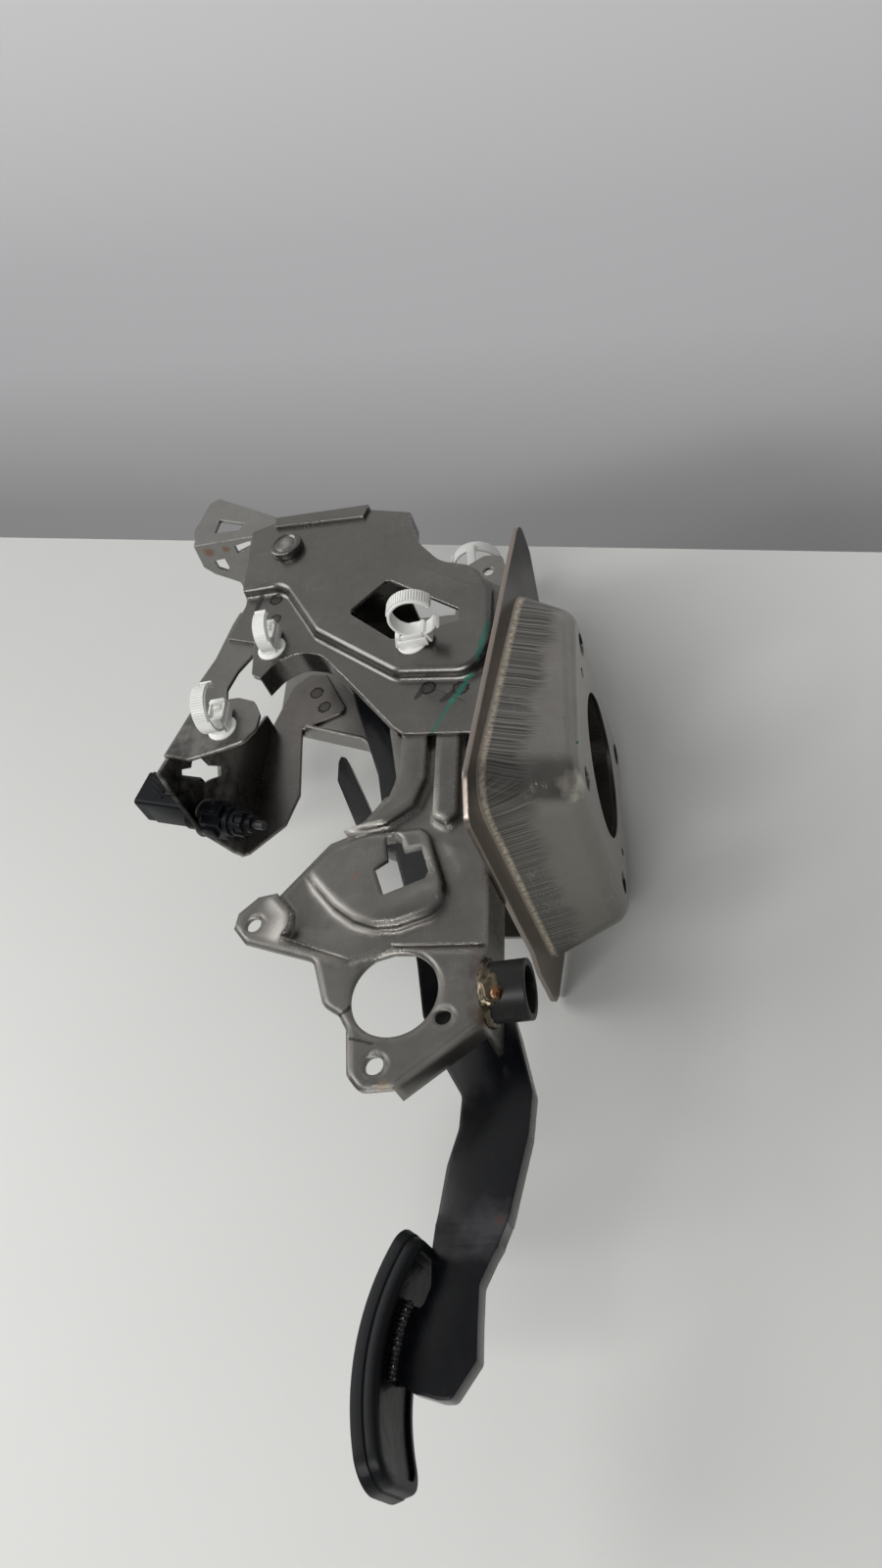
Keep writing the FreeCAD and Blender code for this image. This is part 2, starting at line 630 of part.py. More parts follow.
def left_side_plate():
    # Left plate: upright sheet with a raised ear for a harness clip and a turned-in lower edge
    body = new_body("left_side_plate")
    web = s.plate_top + s.web_rise - s.sheet
    outline = [
        (-190, web + 0.8), (-164, web), (-109, web - 6.8), (-87, web - 9.5), (s.high_x - 18, s.high_z - 6),
        (s.high_x - 14.5, s.high_z + 8), (s.high_x - 2.5, s.high_z + 14.6), (s.high_x + 8.5, s.high_z + 11.3),
        (-49, 150), (-44, 120), (-19.3, 90), (flange_back(0), 0), (flange_back(-64), -64), (-58, -62),
        (-66, -50), (-84, 0), (-108, 38), (-134, 65), (-175, 84), (-190, 100),
    ]
    blank = sketch_on(body, "XZ_Plane", -s.left_gap)
    polygon(blank, outline)
    pad(body, blank, s.sheet, backwards=True)
    round_edges(body, 5, corners_near([outline[i] for i in (5, 6, 7, 9, 13, 14)]))
    holes = sketch_on(body, "XZ_Plane", -s.left_gap)
    circle(holes, s.pivot_x, s.pivot_z, s.pin_radius)
    circle(holes, s.high_x, s.high_z, s.high_hole)
    pocket(body, holes, s.sheet + 1)
    lip = sketch_on(body, "XZ_Plane", -s.left_gap)
    polygon(lip, [(-169, 81.2), (-134, 65), (-108, 38), (-106.4, 39.4), (-132.8, 66.9), (-168.2, 83)])
    pad(body, lip, 9)
    return body


def top_web():
    # Sheet bridging the two plates over the pivot, with a turned-down edge outside the right plate
    body = new_body("top_web")
    rise = s.plate_top + s.web_rise
    face = s.right_gap + s.sheet + s.swage
    blank = sketch_on(body, "XZ_Plane", face + s.sheet)
    polygon(blank, [(-164, rise), (-109, rise - 6.8), (-109, rise - 6.8 - s.sheet), (-164, rise - s.sheet)])
    pad(body, blank, face + s.sheet + s.left_gap + 4, backwards=True)
    edge = sketch_on(body, "XZ_Plane", face + s.sheet)
    polygon(edge, [(-164, rise), (-109, rise - 6.8), (-111.6, rise - 15.5), (-163.3, rise - 7.5)])
    pad(body, edge, s.sheet, backwards=True)
    return body


def dash_bracket():
    # Bracket toward the dashboard: an upright face with a window and a level face with two slots
    body = new_body("dash_bracket")
    outer = s.right_gap + s.swage
    upright = sketch_on(body, "XZ_Plane", outer - s.sheet)
    outline = [(-215.5, 165.2), (-217.5, 177.5), (-211, 199.5), (-206, 202), (-166, 173), (-164, 165),
               (-166, 150), (-177, 150), (-178, 162)]
    polygon(upright, outline)
    pad(body, upright, s.sheet)
    round_edges(body, 4, corners_near([outline[i] for i in (1, 2, 3)], reach=1.2))
    window = sketch_on(body, "XZ_Plane", outer - s.sheet)
    polygon(window, [(-204, 171.5), (-202.3, 182), (-185.5, 173.8), (-188.5, 169)])
    pocket(body, window, s.sheet + 1, backwards=True)
    shelf = sketch_on(body, "XZ_Plane", outer)
    polygon(shelf, [(-217.5, 166.3), (-172, 162.3), (-172, 160.3), (-217.5, 164.3)])
    pad(body, shelf, 34, backwards=True)
    corner = sketch_on(body, "XY_Plane", 150)
    polygon(corner, [(-230, -50), (-215.5, -46.5), (-217.2, -30), (-213, -24), (-201, -15), (-201, -5),
                     (-230, -5)])
    pocket(body, corner, 20, backwards=True)
    slots = sketch_on(body, "XY_Plane", 150)
    polygon(slots, [(-192, -41.5), (-181, -43.5), (-183.6, -39), (-192.5, -36)])
    polygon(slots, [(-208.7, -33.3), (-202, -33.8), (-202.4, -26), (-204.7, -24.2), (-208.9, -27.3)])
    pocket(body, slots, 20, backwards=True)
    return body


def switch_bracket():
    # Switch bracket: an upright strap with a round pad, folded into a face across the pedal
    body = new_body("switch_bracket")
    strap = sketch_on(body, "XZ_Plane", s.right_gap - s.sheet)
    outline = [
        (-181, 108), (-184, 100), (-190, 77), (-197, 62), (-198, 43), (-208, 17), (-194, 12), (-176, 15),
        (-166, 17.5), (-160, 24), (-159, 33), (-163, 42), (-172, 46.5), (-179, 47), (-180, 54), (-176, 65),
        (-168, 76), (-150, 86), (-150, 108),
    ]
    polygon(strap, outline)
    pad(body, strap, s.sheet)
    round_edges(body, 3, corners_near([outline[i] for i in (3, 4, 8, 9, 10, 11, 14, 15)]))
    reach = s.right_gap - s.sheet
    near = sketch_on(body, "XZ_Plane", reach)
    polygon(near, [(-211.5, 8), (-194.9, 51), (-192.9, 51), (-209.5, 8)])
    far = sketch_on(body, "XZ_Plane", -s.brace_gap)
    polygon(far, [(-200.3, -16), (-193.4, 100), (-191.4, 100), (-198.3, -16)])
    loft(body, "AdditiveLoft", near, far)
    trim = sketch_on(body, "YZ_Plane", -230)
    polygon(trim, [(-90, -60), (90, -60), (90, 160), (-90, 160)])
    polygon(trim, [(-60, 130), (-60, 8), (-40, 8), (-34.6, 6.8), (-20, 2.5), (-0.6, -2.4), (27, 2.2),
                   (34.5, 4.5), (34.5, 92), (24, 92), (10, 62), (-12, 43), (-37.9, 43), (-37.9, 130)])
    pocket(body, trim, 80, backwards=True)
    holes = sketch_on(body, "YZ_Plane", -230)
    polygon(holes, [(-27.8, 17), (-22.9, 21.5), (-25.1, 26.5), (-20.7, 31.3), (-10.5, 31.9), (-3.7, 36.4),
                    (-0.7, 32.2), (-6.4, 26.3), (-9.7, 21.7), (-25.7, 14.4)])
    pocket(body, holes, 80, backwards=True)
    seat = across_switch(body, -8)
    circle(seat, 0, 0, s.switch_hole)
    pocket(body, seat, 16, backwards=True)
    return body


def switch_brace():
    # Brace from the far edge of the switch bracket up to the left plate
    body = new_body("switch_brace")
    outline = [
        (-163, 125), (-150, 99), (-150, 94), (-174, 86), (-173, 73), (-170, 40), (-176, 21), (-195, 6),
        (-200, 5), (-197, 34), (-194, 90), (-184, 120), (-174, 128),
    ]
    blank = sketch_on(body, "XZ_Plane", -s.brace_gap)
    polygon(blank, outline)
    pad(body, blank, s.sheet, backwards=True)
    round_edges(body, 4, corners_near([outline[i] for i in (1, 2, 5, 6)]))
    return body


def pedal_arm():
    # Plate arm: ring on the pivot tube, pushrod hole, switch prong and a sideways set above the pad
    body = new_body("pedal_arm")
    half = s.arm_thickness / 2
    upper = sketch_on(body, "XZ_Plane", -half)
    outline = [
        (-170, 132), (-150, 104), (-133, 86), (-130, 79), (-125, 61), (-109, 12), (-105.5, -8), (-110.6, -10.7),
        (-127, 26.6), (-130, 28), (-131, 25), (-130.4, 13), (-116, -21), (-110, -28), (-97.5, -35), (-92, -54),
        (-83.5, -94), (-79.7, -119), (-68.7, -143), (-61.8, -155), (-62.7, -168), (-67, -182), (-70.4, -204),
        (-43, -204), (-41.3, -196.3), (-35.3, -172), (-33.6, -155), (-39.4, -130), (-48, -100), (-60, -60),
        (-70, -20), (-76, 10), (-92, 61), (-113, 100), (-135, 134), (-154, 141),
    ]
    polygon(upper, outline)
    pad(body, upper, s.arm_thickness)
    round_edges(body, 5, corners_near([outline[i] for i in (12, 13, 18, 19, 25, 26)]))
    ring = sketch_on(body, "XZ_Plane", -half)
    circle(ring, s.pivot_x, s.pivot_z, s.arm_ring)
    pad(body, ring, s.arm_thickness)
    bore = sketch_on(body, "XZ_Plane", -half)
    circle(bore, s.pivot_x, s.pivot_z, s.tube_radius)
    circle(bore, s.clevis_x, 0, s.clevis_radius)
    pocket(body, bore, s.arm_thickness + 1, backwards=True)
    above = sketch_on(body, "XY_Plane", -203.5)
    polygon(above, [(-70.4, -half), (-43, -half), (-43, half), (-70.4, half)])
    below = sketch_on(body, "XY_Plane", -213)
    left = s.joggle - half
    right = left + s.arm_thickness
    polygon(below, [(-70.4, left), (-45.9, left), (-45.9, right), (-70.4, right)])
    loft(body, "AdditiveLoft", above, below)
    foot = sketch_on(body, "XZ_Plane", -s.joggle - half)
    seat = s.pad_curve - s.rubber_face - s.pad_plate
    welded = [(s.pad_centre_x + seat * cosine(angle), s.pad_centre_z + seat * sine(angle))
              for angle in (162, 167, 172, 177)]
    polygon(foot, [(-70.4, -212.5), (-70, -226), (-73, -233), *welded, (-76, -259.4), (-65.9, -262.2),
                   (-61.5, -262.2), (-52.8, -250.3), (-52.8, -239), (-52.4, -225.8), (-48, -217),
                   (-45.5, -212.5)])
    pad(body, foot, s.arm_thickness)
    round_edges(body, 3, corners_near([(-73, -233), (-61.5, -262.2), (-52.8, -250.3), (-52.8, -239)]))
    return body


def curved_slab(name, outer, inner, lower, upper, half):
    # A slab bent round the pad centre between two radii
    body = new_body(name)
    band = sketch_on(body, "XZ_Plane", half - s.pad_middle)
    arc_band(band, s.pad_centre_x, s.pad_centre_z, outer, inner, upper, lower)
    pad(body, band, half * 2, backwards=True)
    return body


def slab_corners(half, lower):
    # Chooses the short corner edges at the lower or the upper end of a curved slab
    def chosen(edge):
        if not isinstance(edge.Curve, Part.Line) or abs(edge.Curve.Direction.y) > 0.01:
            return False
        if (middle(edge).z < s.pad_centre_z.value) != lower:
            return False
        return abs(abs(middle(edge).y - s.pad_middle.value) - half.value) < 0.01

    return chosen


def round_slab(body, half, inset):
    round_edges(body, s.pad_corner - inset, slab_corners(half, True))
    round_edges(body, s.pad_upper_corner - inset / 2, slab_corners(half, False))


def pad_plate(name="pad_plate"):
    inner = s.pad_curve - s.rubber_face - s.pad_plate
    half = s.pad_half - s.rubber_rim
    body = curved_slab(name, inner + s.pad_plate, inner, s.pad_lower - 2, s.pad_upper + 5, half)
    round_slab(body, half, s.rubber_rim)
    return body


def pad_rubber():
    # Moulded cover that wraps the pad plate and grips it with a lip behind
    outer = s.pad_curve
    plate_outer = outer - s.rubber_face
    inner = plate_outer - s.pad_plate
    half = s.pad_half
    body = curved_slab("pad_rubber", outer, inner - 1.5, s.pad_lower, s.pad_upper, half)
    round_slab(body, half, as_size(0))
    cut_with(body, pad_plate("pad_core"))
    opening = sketch_on(body, "XZ_Plane", half - 6 - s.pad_middle)
    arc_band(opening, s.pad_centre_x, s.pad_centre_z, inner + 1, inner - 3, s.pad_upper + 7, s.pad_lower - 4)
    pocket(body, opening, (half - 6) * 2)
    relief = sketch_on(body, "XZ_Plane", half - 6 - s.pad_middle)
    polygon(relief, [(s.pad_centre_x + reach * cosine(angle), s.pad_centre_z + reach * sine(angle))
                     for reach, angle in ((plate_outer + 0.8, s.pad_upper - 1), (plate_outer + 0.2, s.pad_upper + 2),
                                          (inner - 3, s.pad_upper + 8), (inner - 6, s.pad_upper - 1))])
    pocket(body, relief, (half - 6) * 2)
    return body


def pad_weld():
    # Weld bead between the arm and the back of the pad plate, on both sides of the arm
    body = new_body("pad_weld")
    inner = s.pad_curve - s.rubber_face - s.pad_plate
    half = s.arm_thickness / 2
    band = sketch_on(body, "XZ_Plane", half - s.joggle + 3)
    arc_band(band, s.pad_centre_x, s.pad_centre_z, inner, inner - 3, 160, 178)
    pad(body, band, s.arm_thickness + 6, backwards=True)
    keep = sketch_on(body, "XZ_Plane", half - s.joggle)
    arc_band(keep, s.pad_centre_x, s.pad_centre_z, inner + 0.5, inner - 4, 158, 180)
    pocket(body, keep, s.arm_thickness)
    return body


def on_pivot(name, steps):
    # Round steps on the pivot axis: start across the car, length, outer radius, inner radius
    body = new_body(name)
    for start, length, outer, hollow in steps:
        ring = sketch_on(body, "XZ_Plane", -as_size(start))
        circle(ring, s.pivot_x, s.pivot_z, outer)
        if hollow is not None:
            circle(ring, s.pivot_x, s.pivot_z, hollow)
        pad(body, ring, length, backwards=True)
    return body


def pivot_pin():
    face = s.right_gap + s.sheet + s.swage
    long = face + s.left_gap + s.sheet + s.nut_height + 2
    body = on_pivot("pivot_pin", [
        (-face - s.pin_head_height, s.pin_head_height, s.pin_head_radius, None),
        (-face, long, s.pin_radius, None),
    ])
    doc.recompute()
    end = -(face.value + s.pin_head_height.value) + 0.01
    rim = ["Edge%d" % (i + 1) for i, edge in enumerate(body.Tip.Shape.Edges) if edge.BoundBox.YMax < end]
    base = body.Tip
    bevel = body.newObject("PartDesign::Chamfer", "pivot_pin_chamfer")
    bevel.Base = (base, rim)
    bind(bevel, "Size", 0.8)
    body.Tip = bevel
    return body


def pivot_nut():
    body = new_body("pivot_nut")
    plate = s.left_gap + s.sheet
    flats = sketch_on(body, "XZ_Plane", -plate)
    reach = s.nut_flats / 1.7320508
    corners = [(s.pivot_x + reach * cosine(60 * i), s.pivot_z + reach * sine(60 * i)) for i in range(6)]
    polygon(flats, corners)
    circle(flats, s.pivot_x, s.pivot_z, s.pin_radius)
    pad(body, flats, s.nut_height, backwards=True)
    return body


def pivot_tube():
    length = s.right_gap + s.swage + s.left_gap - 2 * (s.bush_flange + s.fit_gap)
    start = -s.right_gap - s.swage + s.bush_flange + s.fit_gap
    return on_pivot("pivot_tube", [
        (start, length, s.tube_radius, s.pin_radius + s.run_gap + s.bush_wall),
    ])


def bush(name, flange_start, sleeve_start):
    hole = s.pin_radius + s.run_gap
    return on_pivot(name, [
        (flange_start, s.bush_flange, s.tube_radius, hole),
        (sleeve_start, s.bush_length, hole + s.bush_wall, hole),
    ])


def right_bush():
    start = -s.right_gap - s.swage + s.fit_gap
    return bush("right_bush", start, start + s.bush_flange)


def left_bush():
    start = s.left_gap - s.fit_gap - s.bush_flange
    return bush("left_bush", start, start - s.bush_length)


def across_switch(body, along):
    # A sketch square to the switch axis, a distance along it from the switch hole
    sketch = body.newObject("Sketcher::SketchObject", body.Label + "_sketch")
    sketch.AttachmentSupport = [(origin_plane(body, "XY_Plane"), "")]
    sketch.MapMode = "FlatFace"
    sketch.AttachmentOffset = Placement(Vector(), Rotation(across_axis, s.switch_angle.value))
    bind(sketch, "AttachmentOffset.Rotation.Angle", s.switch_angle)
    bind(sketch, "AttachmentOffset.Base.x", s.switch_x + along * sine(s.switch_angle))
    bind(sketch, "AttachmentOffset.Base.z", s.switch_z + along * cosine(s.switch_angle))
    return sketch


def centred_box(sketch, wide_x, wide_y, shift=0):
    half_x = wide_x / 2
    half_y = wide_y / 2
    polygon(sketch, [(shift - half_x, -half_y), (half_x + shift, -half_y), (half_x + shift, half_y),
                     (shift - half_x, half_y)])


def switch_body():
    # Lamp switch: connector shroud behind the bracket, block, barrel and nose in front of it
    body = new_body("switch_body")
    shroud = across_switch(body, -6 - s.plug_long)
    centred_box(shroud, s.plug_tall, s.plug_wide, -8)
    pad(body, shroud, s.plug_long)
    doc.recompute()
    round_edges(body, 2, lambda edge: abs(edge.Length - s.plug_long.value) < 0.01)
    neck = across_switch(body, -7)
    circle(neck, 0, 0, s.switch_hole - s.fit_gap)
    pad(body, neck, 13)
    block = across_switch(body, 5)
    centred_box(block, s.block_tall, s.block_wide)
    pad(body, block, 11)
    barrel = across_switch(body, 15)
    circle(barrel, 0, 0, s.barrel_radius)
    pad(body, barrel, 12)
    nose = across_switch(body, 27)
    circle(nose, 0, 0, s.nose_radius)
    pad(body, nose, 4)
    mouth = across_switch(body, -6 - s.plug_long)
    centred_box(mouth, s.plug_tall - 3, s.plug_wide - 3, -8)
    pocket(body, mouth, 17, backwards=True)
    bore = across_switch(body, 9)
    circle(bore, 0, 0, s.plunger_radius + s.run_gap)
    pocket(body, bore, 30, backwards=True)
    return body


def switch_lock():
    # Quarter-turn key on the side of the switch block
    body = new_body("switch_lock")
    key = across_switch(body, 6.4)
    low = s.block_wide / -2 - 0.1
    polygon(key, [(-3.5, low - 3), (3.5, low - 3), (3.5, low + 0.1), (-3.5, low + 0.1)])
    pad(body, key, 9.2)
    return body


def switch_plunger():
    body = new_body("switch_plunger")
    rod = across_switch(body, 17)
    circle(rod, 0, 0, s.plunger_radius)
    pad(body, rod, s.plunger_reach - 17)
    return body


def switch_terminals():
    # Four blade terminals standing in the connector mouth
    body = new_body("switch_terminals")
    start = -s.plug_long
    board = across_switch(body, 17 - 6 - s.plug_long - 1.2)
    centred_box(board, s.plug_tall - 3, s.plug_wide - 3, -8)
    pad(body, board, 1.2)
    blades = across_switch(body, start)
    for x in (-12.2, -5.2):
        for y in (-3.6, 2.2):
            polygon(blades, [(x, y), (x + 1, y), (x + 1, y + 3), (x, y + 3)])
    pad(body, blades, 9.8)
    return body


def collar_tube():
    body = new_body("collar_tube")
    end = sketch_on(body, "YZ_Plane", s.front_fold)
    circle(end, s.collar_y, s.collar_z, s.collar_radius)
    circle(end, s.collar_y, s.collar_z, s.collar_radius - s.collar_wall)
    pad(body, end, s.collar_length)
    return body


def collar_weld():
    # Fillet of weld round the foot of the collar tube
    body = new_body("collar_weld")
    foot = sketch_on(body, "YZ_Plane", s.front_fold)
    circle(foot, s.collar_y, s.collar_z, s.collar_radius + 3)
    circle(foot, s.collar_y, s.collar_z, s.collar_radius)
    pad(body, foot, 3)
    return body


def harness_clip(name, x, z, face, side, ring_turn, shift, start, end, ring_radius=None):
    # Harness clip: disc on the plate, block head and a split ring; side is -1 right and 1 left
    body = new_body(name)
    outward = side > 0
    radius = ring_radius or s.clip_ring
    disc = sketch_on(body, "XZ_Plane", -side * face)
    circle(disc, x, z, s.clip_disc)
    pad(body, disc, 1.6, backwards=outward)
    head = sketch_on(body, "XZ_Plane", -side * (face + 1.2))
    ahead, above, reach = shift
    polygon(head, [(x - 4.5, z - 4), (x + 4.5, z - 4), (x + 4.5 + ahead, z + 4 + above),
                   (x - 4.5 + ahead, z + 4 + above)])
    pad(body, head, reach - radius + 1.2, backwards=outward)
    centre = side * (face + reach)
    inner = radius - s.clip_wall
    if ring_turn == "upright":
        ring = sketch_on(body, "XY_Plane", z + above - s.clip_width / 2)
        arc_band(ring, x + ahead, centre, radius, inner, start, end)
    else:
        ring = sketch_on(body, "YZ_Plane", x + ahead - s.clip_width / 2)
        arc_band(ring, centre, z + above, radius, inner, start, end)
    pad(body, ring, s.clip_width)
    return body


nodes = []


def write_parts():
    doc.recompute()
    for thing in doc.Objects:
        if "Invalid" in thing.State or "Error" in thing.State:
            raise RuntimeError("failed: %s %s" % (thing.Name, thing.State))
    os.makedirs("parts", exist_ok=True)
    for node in nodes:
        if node.Shape.isNull() or not node.Shape.isValid():
            raise RuntimeError("bad shape: " + node.Label)
        node.Shape.exportStep("parts/%s.step" % node.Label)
        print(node.Label, len(node.Shape.Solids), round(node.Shape.Volume, 1))


nodes.append(firewall_dish())
nodes.append(right_side_plate())
nodes.append(right_lower_plate())
nodes.append(left_side_plate())
nodes.append(top_web())
nodes.append(dash_bracket())
nodes.append(switch_bracket())
nodes.append(switch_brace())
nodes.append(pivot_pin())
nodes.append(pivot_nut())
nodes.append(right_bush())
nodes.append(left_bush())
nodes.append(pivot_tube())
nodes.append(pedal_arm())
nodes.append(pad_plate())
nodes.append(pad_rubber())
nodes.append(pad_weld())
nodes.append(switch_body())
nodes.append(switch_lock())
nodes.append(switch_plunger())
nodes.append(switch_terminals())
nodes.append(collar_tube())
nodes.append(collar_weld())
raised = s.right_gap + s.sheet + s.swage
across = s.plate_rear
above = s.plate_top
nodes.append(harness_clip("clip_by_window", across + 99, above - 112, raised, -1, "upright", (6, 0, 18), 35, 335))
nodes.append(harness_clip("clip_by_arch", across + 21, above - 91, s.right_gap + s.sheet, -1, "level",
                          (0, 0, 16), 110, 400))
nodes.append(harness_clip("clip_on_strap", -178, 28, s.right_gap, -1, "level", (0, 0, 18), 110, 400))
far = s.left_gap + s.sheet
nodes.append(harness_clip("clip_on_ear", s.high_x - 9, s.high_z - 16.4, far, 1, "upright", (-4, 48, 18), 200, 500,
                          s.wide_ring))
write_parts()
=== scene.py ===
import bmesh
import bpy
import math
from mathutils import Matrix, Vector, noise


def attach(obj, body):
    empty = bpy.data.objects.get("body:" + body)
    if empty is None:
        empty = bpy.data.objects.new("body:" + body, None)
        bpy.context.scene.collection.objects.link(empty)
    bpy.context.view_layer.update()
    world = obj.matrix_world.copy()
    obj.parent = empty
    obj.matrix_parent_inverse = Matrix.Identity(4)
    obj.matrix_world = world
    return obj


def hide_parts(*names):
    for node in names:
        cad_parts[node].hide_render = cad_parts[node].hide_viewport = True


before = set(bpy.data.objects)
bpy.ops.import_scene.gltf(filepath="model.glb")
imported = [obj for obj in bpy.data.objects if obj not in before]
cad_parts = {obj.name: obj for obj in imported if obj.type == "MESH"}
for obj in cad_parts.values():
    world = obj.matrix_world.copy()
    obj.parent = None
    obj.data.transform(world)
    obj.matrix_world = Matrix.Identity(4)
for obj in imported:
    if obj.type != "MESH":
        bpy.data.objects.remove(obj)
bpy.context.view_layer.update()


print("frame loaded:", len(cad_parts), "nodes")

view = {
    "place": (0.069344, -0.424394, -0.335076),  # camera centre beside the part
    "right": (0.952875, 0.301010, 0.037710),
    "up": (0.152980, -0.584134, 0.797110),
    "back": (0.261966, -0.753777, -0.602656),
    "lens": 27.045,
    "sensor": 36,
    "near": 0.01,
    "far": 40,
}


def makeCamera():
    lens = bpy.data.cameras.new("photoCamera")
    lens.lens = view["lens"]
    lens.sensor_width = view["sensor"]
    lens.clip_start = view["near"]
    lens.clip_end = view["far"]
    camera = bpy.data.objects.new("photoCamera", lens)
    bpy.context.collection.objects.link(camera)
    turn = Matrix((view["right"], view["up"], view["back"])).transposed()
    camera.matrix_world = Matrix.Translation(view["place"]) @ turn.to_4x4()
    bpy.context.scene.camera = camera


makeCamera()
print("camera placed")


class Board:
    # one node tree, with a short call for each node that the finishes use
    def __init__(self, tree):
        self.tree = tree

    def feed(self, socket, value):
        if isinstance(value, bpy.types.NodeSocket):
            self.tree.links.new(value, socket)
        else:
            socket.default_value = value

    def add(self, kind, inputs, **settings):
        node = self.tree.nodes.new(kind)
        for key, value in settings.items():
            setattr(node, key, value)
        for key, value in inputs.items():
            self.feed(node.inputs[key], value)
        return node

    def math(self, operation, first, second=0.0, clamp=False):
        inputs = {0: first, 1: second}
        return self.add("ShaderNodeMath", inputs, operation=operation, use_clamp=clamp).outputs[0]

    def times(self, first, second):
        return self.math("MULTIPLY", first, second)

    def vector(self, operation, first, second=(0, 0, 0)):
        node = self.add("ShaderNodeVectorMath", {0: first, 1: second}, operation=operation)
        return node.outputs["Value" if operation in ("DOT_PRODUCT", "DISTANCE") else "Vector"]

    def mix(self, share, first, second):
        node = self.tree.nodes.new("ShaderNodeMix")
        node.data_type = "RGBA"
        for index, value in ((0, share), (6, first), (7, second)):
            self.feed(node.inputs[index], value)
        return node.outputs[2]

    def noise(self, vector, scale, detail=3.0, rough=0.55):
        inputs = {"Vector": vector, "Scale": scale, "Detail": detail, "Roughness": rough}
        return self.add("ShaderNodeTexNoise", inputs).outputs["Fac"]

    def lineNoise(self, along, scale, detail):
        inputs = {"W": along, "Scale": scale, "Detail": detail}
        return self.add("ShaderNodeTexNoise", inputs, noise_dimensions="1D").outputs["Fac"]

    def span(self, value, low, high, toLow=0.0, toHigh=1.0):
        inputs = {0: value, 1: low, 2: high, 3: toLow, 4: toHigh}
        return self.add("ShaderNodeMapRange", inputs).outputs[0]

    def turned(self, vector, turn, scale):
        inputs = {"Vector": vector, "Rotation": turn, "Scale": scale}
        return self.add("ShaderNodeMapping", inputs).outputs[0]

    def group(self, tree, inputs):
        node = self.tree.nodes.new("ShaderNodeGroup")
        node.node_tree = tree
        for key, value in inputs.items():
            self.feed(node.inputs[key], value)
        return node.outputs

    def split(self, vector):
        return self.add("ShaderNodeSeparateXYZ", {"Vector": vector}).outputs

    def objectPlace(self):
        return self.add("ShaderNodeTexCoord", {}).outputs["Object"]

    def facing(self):
        return self.add("ShaderNodeNewGeometry", {}).outputs["Normal"]

    def bump(self, height, distance, normal, strength):
        inputs = {"Height": height, "Distance": distance, "Strength": strength, "Normal": normal}
        return self.add("ShaderNodeBump", inputs).outputs[0]


def makeGroup(name, inputs, outputs):
    tree = bpy.data.node_groups.new(name, "ShaderNodeTree")
    for label, kind, value in inputs:
        socket = tree.interface.new_socket(label, in_out="INPUT", socket_type="NodeSocket" + kind)
        if value is not None:
            socket.default_value = value
    for label, kind in outputs:
        tree.interface.new_socket(label, in_out="OUTPUT", socket_type="NodeSocket" + kind)
    board = Board(tree)
    given = tree.nodes.new("NodeGroupInput").outputs
    result = tree.nodes.new("NodeGroupOutput").inputs
    return tree, board, given, result


def makeMottle():
    # cloudy change of tone, as oil and handling leave on bare sheet
    tree, board, given, result = makeGroup(
        "mottle", [("Vector", "Vector", None), ("Scale", "Float", 30.0)], [("Mask", "Float")])
    wideShare = 0.7
    fineScale = 7.3  # the fine cloud beside the wide one
    wide = board.noise(given["Vector"], given["Scale"], 5.0, 0.62)
    fine = board.noise(given["Vector"], board.times(given["Scale"], fineScale), 3.0, 0.6)
    both = board.math("ADD", board.times(wide, wideShare), board.times(fine, 1 - wideShare))
    board.feed(result["Mask"], board.span(both, 0.32, 0.68))
    return tree


def makeScratches():
    # thin broken lines in two directions
    tree, board, given, result = makeGroup(
        "fineScratches", [("Vector", "Vector", None), ("Scale", "Float", 60.0)], [("Mask", "Float")])
    lineWidth = 0.012
    lines = []
    for turn, stretch in (((0.3, 0.5, 0.2), (1, 1, 22)), ((1.2, 0.2, 1.1), (24, 1, 1))):
        placed = board.turned(given["Vector"], turn, stretch)
        level = board.math("SUBTRACT", board.noise(placed, given["Scale"], 1.0), 0.5)
        lines.append(board.span(board.math("ABSOLUTE", level), 0.0, lineWidth, 1.0, 0.0))
    broken = board.span(board.noise(given["Vector"], given["Scale"], 2.0), 0.52, 0.66)
    both = board.math("MAXIMUM", lines[0], lines[1])
    board.feed(result["Mask"], board.times(both, broken))
    return tree


def makeEdgeWear():
    # rounded shading and a bright worn line where two faces meet
    tree, board, given, result = makeGroup(
        "edgeWear", [("Radius", "Float", 0.0008)], [("Mask", "Float"), ("Normal", "Vector")])
    soft = board.add("ShaderNodeBevel", {"Radius": given["Radius"]}, samples=4).outputs[0]
    turn = board.vector("DOT_PRODUCT", soft, board.facing())
    board.feed(result["Mask"], board.span(turn, 0.995, 0.9))
    board.feed(result["Normal"], soft)
    return tree


def makeSpotWeld():
    # dark ring and shallow dent of one spot weld
    tree, board, given, result = makeGroup(
        "spotWeld",
        [("Vector", "Vector", None), ("Centre", "Vector", (0, 0, 0)), ("Radius", "Float", 0.003)],
        [("Ring", "Float"), ("Disc", "Float")])
    ringAt = 0.9  # share of the radius
    away = board.vector("DISTANCE", given["Vector"], given["Centre"])
    ragged = board.span(board.noise(given["Vector"], 700.0, 2.0), 0.3, 0.7, -0.12, 0.12)
    share = board.math("ADD", board.math("DIVIDE", away, given["Radius"]), ragged)
    board.feed(result["Disc"], board.span(share, 1.12, 0.96))
    ring = board.math("ABSOLUTE", board.math("SUBTRACT", share, ringAt))
    board.feed(result["Ring"], board.span(ring, 0.2, 0.08))
    return tree


